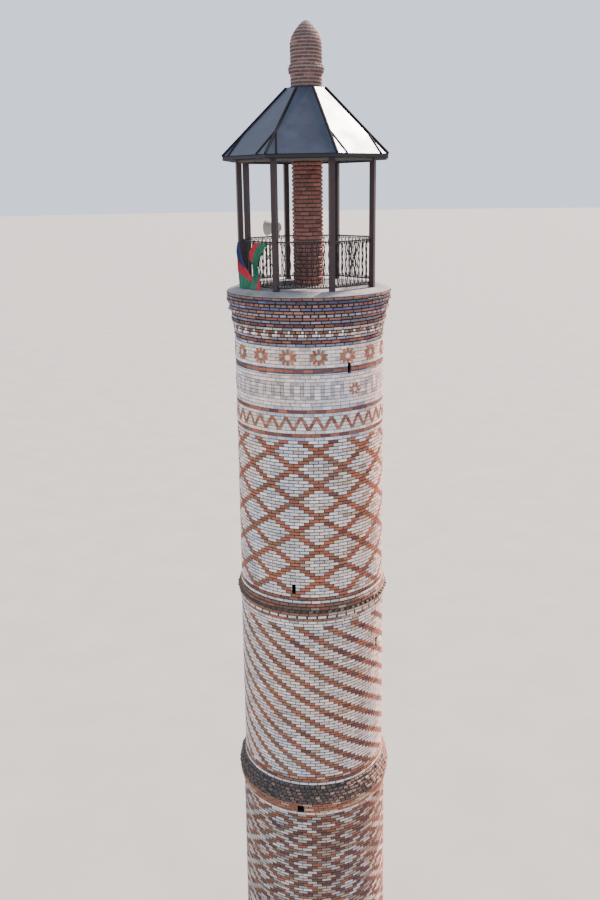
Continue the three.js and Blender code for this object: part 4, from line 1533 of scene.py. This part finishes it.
class MINARET_OT_roof(MinaretOperator, bpy.types.Operator):
    """Finish the sheet roof with its hip caps, slanting seams, fascia and collar"""

    bl_idname = "minaret.roof"
    bl_label = "Roof"

    def execute(self, context):
        points = node_points("roof_shell")
        eave, self.top = (corner.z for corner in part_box("roof_shell"))
        eave_radius = max(point.xy.length for point in points)
        self.eave_top = min(point.z for point in points
                            if point.xy.length > eave_radius - 0.002 and point.z > eave + 0.03)
        assign("roof_shell", roof_surface(self.eave_top))
        top_radius = max(point.xy.length for point in points if point.z > self.top - 0.001)
        corners = [outward(post_bearing(number)) for number in range(1, SIDES + 1)]
        hips = [(way * top_radius + Vector((0, 0, self.top)),
                 way * eave_radius + Vector((0, 0, self.eave_top))) for way in corners]
        dark = painted_metal_surface("Seam Paint", (0.010, 0.011, 0.015), rust=0.05, rough=0.8,
                                     dust=0.05, specular=0.12)
        for name, mesh in (("roof_seams", self.seams(hips)), ("roof_fascia", self.fascia(hips, eave)),
                           ("roof_collar", self.collar(top_radius))):
            add_piece(name, mesh, dark)
        return {"FINISHED"}

    def seams(self, hips):
        """A cap along each hip, and slanting seams where the sheets of each face end"""
        cap, seam = (0.046, 0.026), (0.045, 0.014)
        bm = bmesh.new()
        for upper, lower in hips:
            self.strip(bm, upper, lower, *cap)
        feet = [SEAM_FEET.get(face, USUAL_FEET) for face in range(SIDES)]
        for i, (upper, lower) in enumerate(hips):
            start = upper.lerp(lower, SEAM_START)
            for neighbour, distance in ((hips[i - 1][1], feet[i - 1][1]),
                                        (hips[(i + 1) % SIDES][1], feet[i][0])):
                if distance > 0:
                    end = lower + (neighbour - lower).normalized() * distance
                    self.strip(bm, start, end, *seam)
        bmesh.ops.recalc_face_normals(bm, faces=bm.faces)
        return mesh_from("roof_seams", bm)

    def strip(self, bm, start, end, width, height):
        """A folded strip that lies on the roof between two points"""
        along = (end - start).normalized()
        radial = Vector((start.x + end.x, start.y + end.y, 0)).normalized()
        side = along.cross(radial + Vector((0, 0, 1))).normalized()
        up = side.cross(along).normalized()
        size = ((end - start).length, width, height * 2)
        verts = add_box(bm, size, axes_at((start + end) / 2, along, side, up))
        edges = {edge for vertex in verts for edge in vertex.link_edges}
        bmesh.ops.bevel(bm, geom=list(edges), offset=height * 0.35, segments=1, profile=0.5,
                        affect="EDGES", material=-1)

    def fascia(self, hips, eave):
        """A drip edge round the top of the fascia and a turned lip along its foot"""
        overlap = 0.004
        # The height of the middle of each, its height, and how far it stands out
        edges = ((self.eave_top - 0.006, 0.014, 0.006), (eave + 0.006, 0.012, 0.004))
        bm = bmesh.new()
        for i, (_, lower) in enumerate(hips):
            following = hips[(i + 1) % SIDES][1]
            along = (following - lower).normalized()
            inward = Vector((-along.y, along.x, 0))
            for z, height, out in edges:
                middle = (lower + following) / 2
                middle.z = z
                size = ((following - lower).length + overlap, 2 * out, height)
                add_box(bm, size, axes_at(middle, along, inward, Vector((0, 0, 1))))
        bmesh.ops.recalc_face_normals(bm, faces=bm.faces)
        return mesh_from("roof_fascia", bm)

    def collar(self, top_radius):
        """The flashing that closes the sheets against the brick"""
        section = ((COLUMN_RADIUS + 0.003, -0.02), (top_radius + 0.012, -0.025),
                   (top_radius - 0.002, 0.006), (COLUMN_RADIUS + 0.02, 0.022),
                   (COLUMN_RADIUS + 0.003, 0.03))
        bm = bmesh.new()
        verts = [bm.verts.new((0, -radius, self.top + rise)) for radius, rise in section]
        edges = [bm.edges.new((verts[i], verts[(i + 1) % len(verts)])) for i in range(len(verts))]
        bmesh.ops.rotate(bm, verts=verts, cent=(0, 0, 0),
                         matrix=Matrix.Rotation(math.radians(post_bearing(1)), 3, "Z"))
        bmesh.ops.spin(bm, geom=verts + edges, cent=(0, 0, 0), axis=(0, 0, 1), angle=2 * math.pi,
                       steps=SIDES, use_merge=True)
        bmesh.ops.recalc_face_normals(bm, faces=bm.faces)
        return mesh_from("roof_collar", bm)


class MINARET_OT_horn(MinaretOperator, bpy.types.Operator):
    """Finish the horn loudspeaker"""

    bl_idname = "minaret.horn"
    bl_label = "Horn"

    def execute(self, context):
        enamel = painted_metal_surface("Horn Enamel", (0.50, 0.48, 0.43), rust=0.15, rough=0.45)
        assign("horn_speaker", enamel)
        return {"FINISHED"}


# Edges of the flag's two falls at some shares of the drop: places along the bay from its middle
DROPS = (0, 0.2, 0.35, 0.47, 0.58, 0.69, 0.8, 1)
LEFT_FALL = ((-0.503, -0.539, -0.51, -0.512, -0.513, -0.50, -0.504, -0.483),
             (-0.468, -0.457, -0.422, -0.354, -0.289, -0.191, -0.13, -0.274))
RIGHT_FALL = ((-0.051, -0.232, -0.233, -0.107, -0.07, -0.082, -0.123, -0.194),
              (0.33, 0.192, 0.092, 0.0, 0.06, 0.088, 0.135, 0.149))
# The shares of the cloth's width where the left fall ends and the right one starts, and the share of the
# drop below which the cloth between them shows, in the heap at their foot
LEFT_END, RIGHT_START, HEAP_TOP = 0.42, 0.5, 0.88


class MINARET_OT_flag(MinaretOperator, bpy.types.Operator):
    """Hang the banded cloth from the railing in two bunched falls"""

    bl_idname = "minaret.flag"
    bl_label = "Flag"

    folds: FloatProperty(name="Folds", description="Depth of the cloth's folds", default=0.022,
                         min=0.0, max=0.08, unit="LENGTH")

    def execute(self, context):
        bearing = post_bearing(1) - 180 / SIDES
        low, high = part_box("flag")
        rail_face = max(outward(bearing).dot(point) for point in node_points("railing_8"))
        bm = bmesh.new()
        bmesh.ops.create_grid(bm, x_segments=150, y_segments=60, size=0.5)
        layer = bm.loops.layers.uv.new("Cloth")
        between = [face for face in bm.faces if LEFT_END < face.calc_center_median().x + 0.5 < RIGHT_START
                   and face.calc_center_median().y > 0.5 - HEAP_TOP]
        bmesh.ops.delete(bm, geom=between, context="FACES")
        for vertex in bm.verts:
            u, v = vertex.co.x + 0.5, 0.5 - vertex.co.y
            along, out, z, band = self.hang(u, v, high.z, low.z)
            vertex.co = sideways(bearing) * along + outward(bearing) * (rail_face + out)
            vertex.co.z = z
            for loop in vertex.link_loops:
                loop[layer].uv = (u, band)
        for face in bm.faces:
            face.smooth = True
        mesh = mesh_from("flag_cloth", bm)
        piece = add_piece("flag_cloth", mesh, cloth_surface(), ("flag",))
        return {"FINISHED"}

    def hang(self, u, v, rail, floor):
        """Place and band of a point of the cloth, where u runs across it and v down it"""
        folds, tucks, least_out = 9, 4, 0.012
        ends = (0, LEFT_END, RIGHT_START, 1)
        edges = [float(np.interp(v, DROPS, edge)) for edge in LEFT_FALL + RIGHT_FALL]
        along = float(np.interp(u, ends, edges))
        share = float(np.interp(u, ends, (0, 1, 0, 1)))
        if u < (LEFT_END + RIGHT_START) / 2:
            band = v - 0.22 * share
            base = 0.1 - 0.06 * share * v
        else:
            # The right fall is green between two edges that cross it on the slant, and red outside them
            upper_edge = float(np.interp(v, (0, 0.38, 0.46), (0.42, 0.4, -0.2)))
            lower_edge = float(np.interp(v, (0.5, 0.68, 0.78, 1), (1.4, 1.0, 0.8, 0.5)))
            band = max(0.5, 0.64 + min(share - upper_edge, lower_edge - share))
            base = 0.03 + 0.05 * v * v
        swell = self.folds * math.sin(math.pi * min(1.0, 0.2 + 0.8 * v))
        phase = 2 * math.pi * folds * u + 0.9 * math.sin(3.1 * v)
        out = base + swell * math.sin(phase)
        along += 0.4 * swell * math.cos(phase + 0.7)
        tuck = 0.012 * (1 - v) * math.sin(2 * math.pi * tucks * u) ** 2
        z = rail - (rail - floor - 0.006) * v - tuck
        return along, max(least_out, out), z, band


class MINARET_OT_stage(MinaretOperator, bpy.types.Operator):
    """Set the floor, the soft light and the camera at the photograph's place"""

    bl_idname = "minaret.stage"
    bl_label = "Stage"

    def execute(self, context):
        stage = context.scene.minaret_stage
        self.floor(stage)
        self.lights(stage)
        self.camera(stage)
        return {"FINISHED"}

    def floor(self, stage):
        bm = bmesh.new()
        bmesh.ops.create_circle(bm, cap_ends=True, segments=64, radius=stage.floor_radius)
        bmesh.ops.translate(bm, vec=(0, 0, -0.002), verts=bm.verts)
        mesh = mesh_from("floor", bm)
        floor = new_object("floor", mesh)

        def build(graph):
            tone = graph.spread(graph.noise(0.4, 3), 0.3, 0.7, 0.33, 0.36)
            return {"Base Color": tone, "Roughness": 0.9}
        mesh.materials.append(surface("Pale Floor", build))

    def lights(self, stage):
        """A large warm lamp high up behind the right side, and even light from all round"""
        data = bpy.data.lights.new("key", "SUN")
        data.energy = stage.key
        data.angle = math.radians(6)
        data.color = (1.0, 0.79, 0.67)
        key = new_object("key", data)
        way = outward(SUNNY_BEARING) * 0.70 + Vector((0, 0, 0.71))
        key.rotation_euler = way.to_track_quat("Z", "Y").to_euler()
        world = bpy.data.worlds.new("soft_light")
        world.use_nodes = True
        background = world.node_tree.nodes["Background"]
        background.inputs["Color"].default_value = (0.80, 0.87, 1.0, 1)
        background.inputs["Strength"].default_value = stage.fill
        bpy.context.scene.world = world

    def camera(self, stage):
        """The camera looks along +Y, then down by its pitch, and leans by its roll"""
        data = bpy.data.cameras.new("camera")
        data.sensor_width = 36
        data.lens = stage.lens
        data.clip_end = 2000
        camera = new_object("camera", data)
        pitch, roll = stage.pitch, stage.roll
        ahead = Vector((0, math.cos(pitch), -math.sin(pitch)))
        level = Vector((1, 0, 0))
        over = Vector((0, math.sin(pitch), math.cos(pitch)))
        right = level * math.cos(roll) + over * math.sin(roll)
        up = over * math.cos(roll) - level * math.sin(roll)
        camera.matrix_world = axes_at(stage.place, right, up, -ahead)
        bpy.context.scene.camera = camera


class MinaretStageSettings(bpy.types.PropertyGroup):
    """The camera, the lights and the floor"""

    place: FloatVectorProperty(
        name="Camera place", description="Where the camera stands", default=(-0.2276, -18.821, 21.0),
        subtype="XYZ", unit="LENGTH")
    pitch: FloatProperty(
        name="Pitch", description="How far the camera looks down", default=0.284205, subtype="ANGLE")
    roll: FloatProperty(
        name="Roll", description="How far the camera leans", default=-0.014856, subtype="ANGLE")
    lens: FloatProperty(
        name="Lens", description="Focal length in millimetres on a 36 mm frame", default=35.772, min=10)
    key: FloatProperty(
        name="Key light", description="Strength of the large lamp behind the tower's right side",
        default=14.0, min=0)
    fill: FloatProperty(
        name="Fill light", description="Strength of the even light from all sides", default=1.35, min=0)
    floor_radius: FloatProperty(
        name="Floor radius", description="Radius of the plain floor", default=900, unit="LENGTH")


class MINARET_PT_panel(bpy.types.Panel):
    """Sizes, colours and pieces of the minaret"""

    bl_idname = "MINARET_PT_panel"
    bl_label = "Minaret"
    bl_space_type = "VIEW_3D"
    bl_region_type = "UI"
    bl_category = "Minaret"

    def draw(self, context):
        for group in (context.scene.minaret_bricks, context.scene.minaret_colours,
                      context.scene.minaret_stage):
            box = self.layout.box()
            for name in group.__annotations__:
                box.prop(group, name)
        for operator in OPERATORS:
            self.layout.operator(operator.bl_idname)


GROUPS = {"minaret_bricks": MinaretBrickSettings, "minaret_colours": MinaretColours,
          "minaret_stage": MinaretStageSettings}
OPERATORS = [
    MINARET_OT_mortar, MINARET_OT_plinth, MINARET_OT_tiers, MINARET_OT_rings, MINARET_OT_door_arch,
    MINARET_OT_inlays, MINARET_OT_column, MINARET_OT_platform, MINARET_OT_posts, MINARET_OT_railings,
    MINARET_OT_roof, MINARET_OT_horn, MINARET_OT_flag, MINARET_OT_stage,
]


def register():
    for name, group in GROUPS.items():
        bpy.utils.register_class(group)
        setattr(bpy.types.Scene, name, PointerProperty(type=group))
    for operator in OPERATORS:
        bpy.utils.register_class(operator)
    bpy.utils.register_class(MINARET_PT_panel)


def unregister():
    bpy.utils.unregister_class(MINARET_PT_panel)
    for operator in reversed(OPERATORS):
        bpy.utils.unregister_class(operator)
    for name, group in GROUPS.items():
        delattr(bpy.types.Scene, name)
        bpy.utils.unregister_class(group)


def main():
    register()
    for operator in OPERATORS:
        family, name = operator.bl_idname.split(".")
        getattr(getattr(bpy.ops, family), name)()


if __name__ == "__main__":
    main()
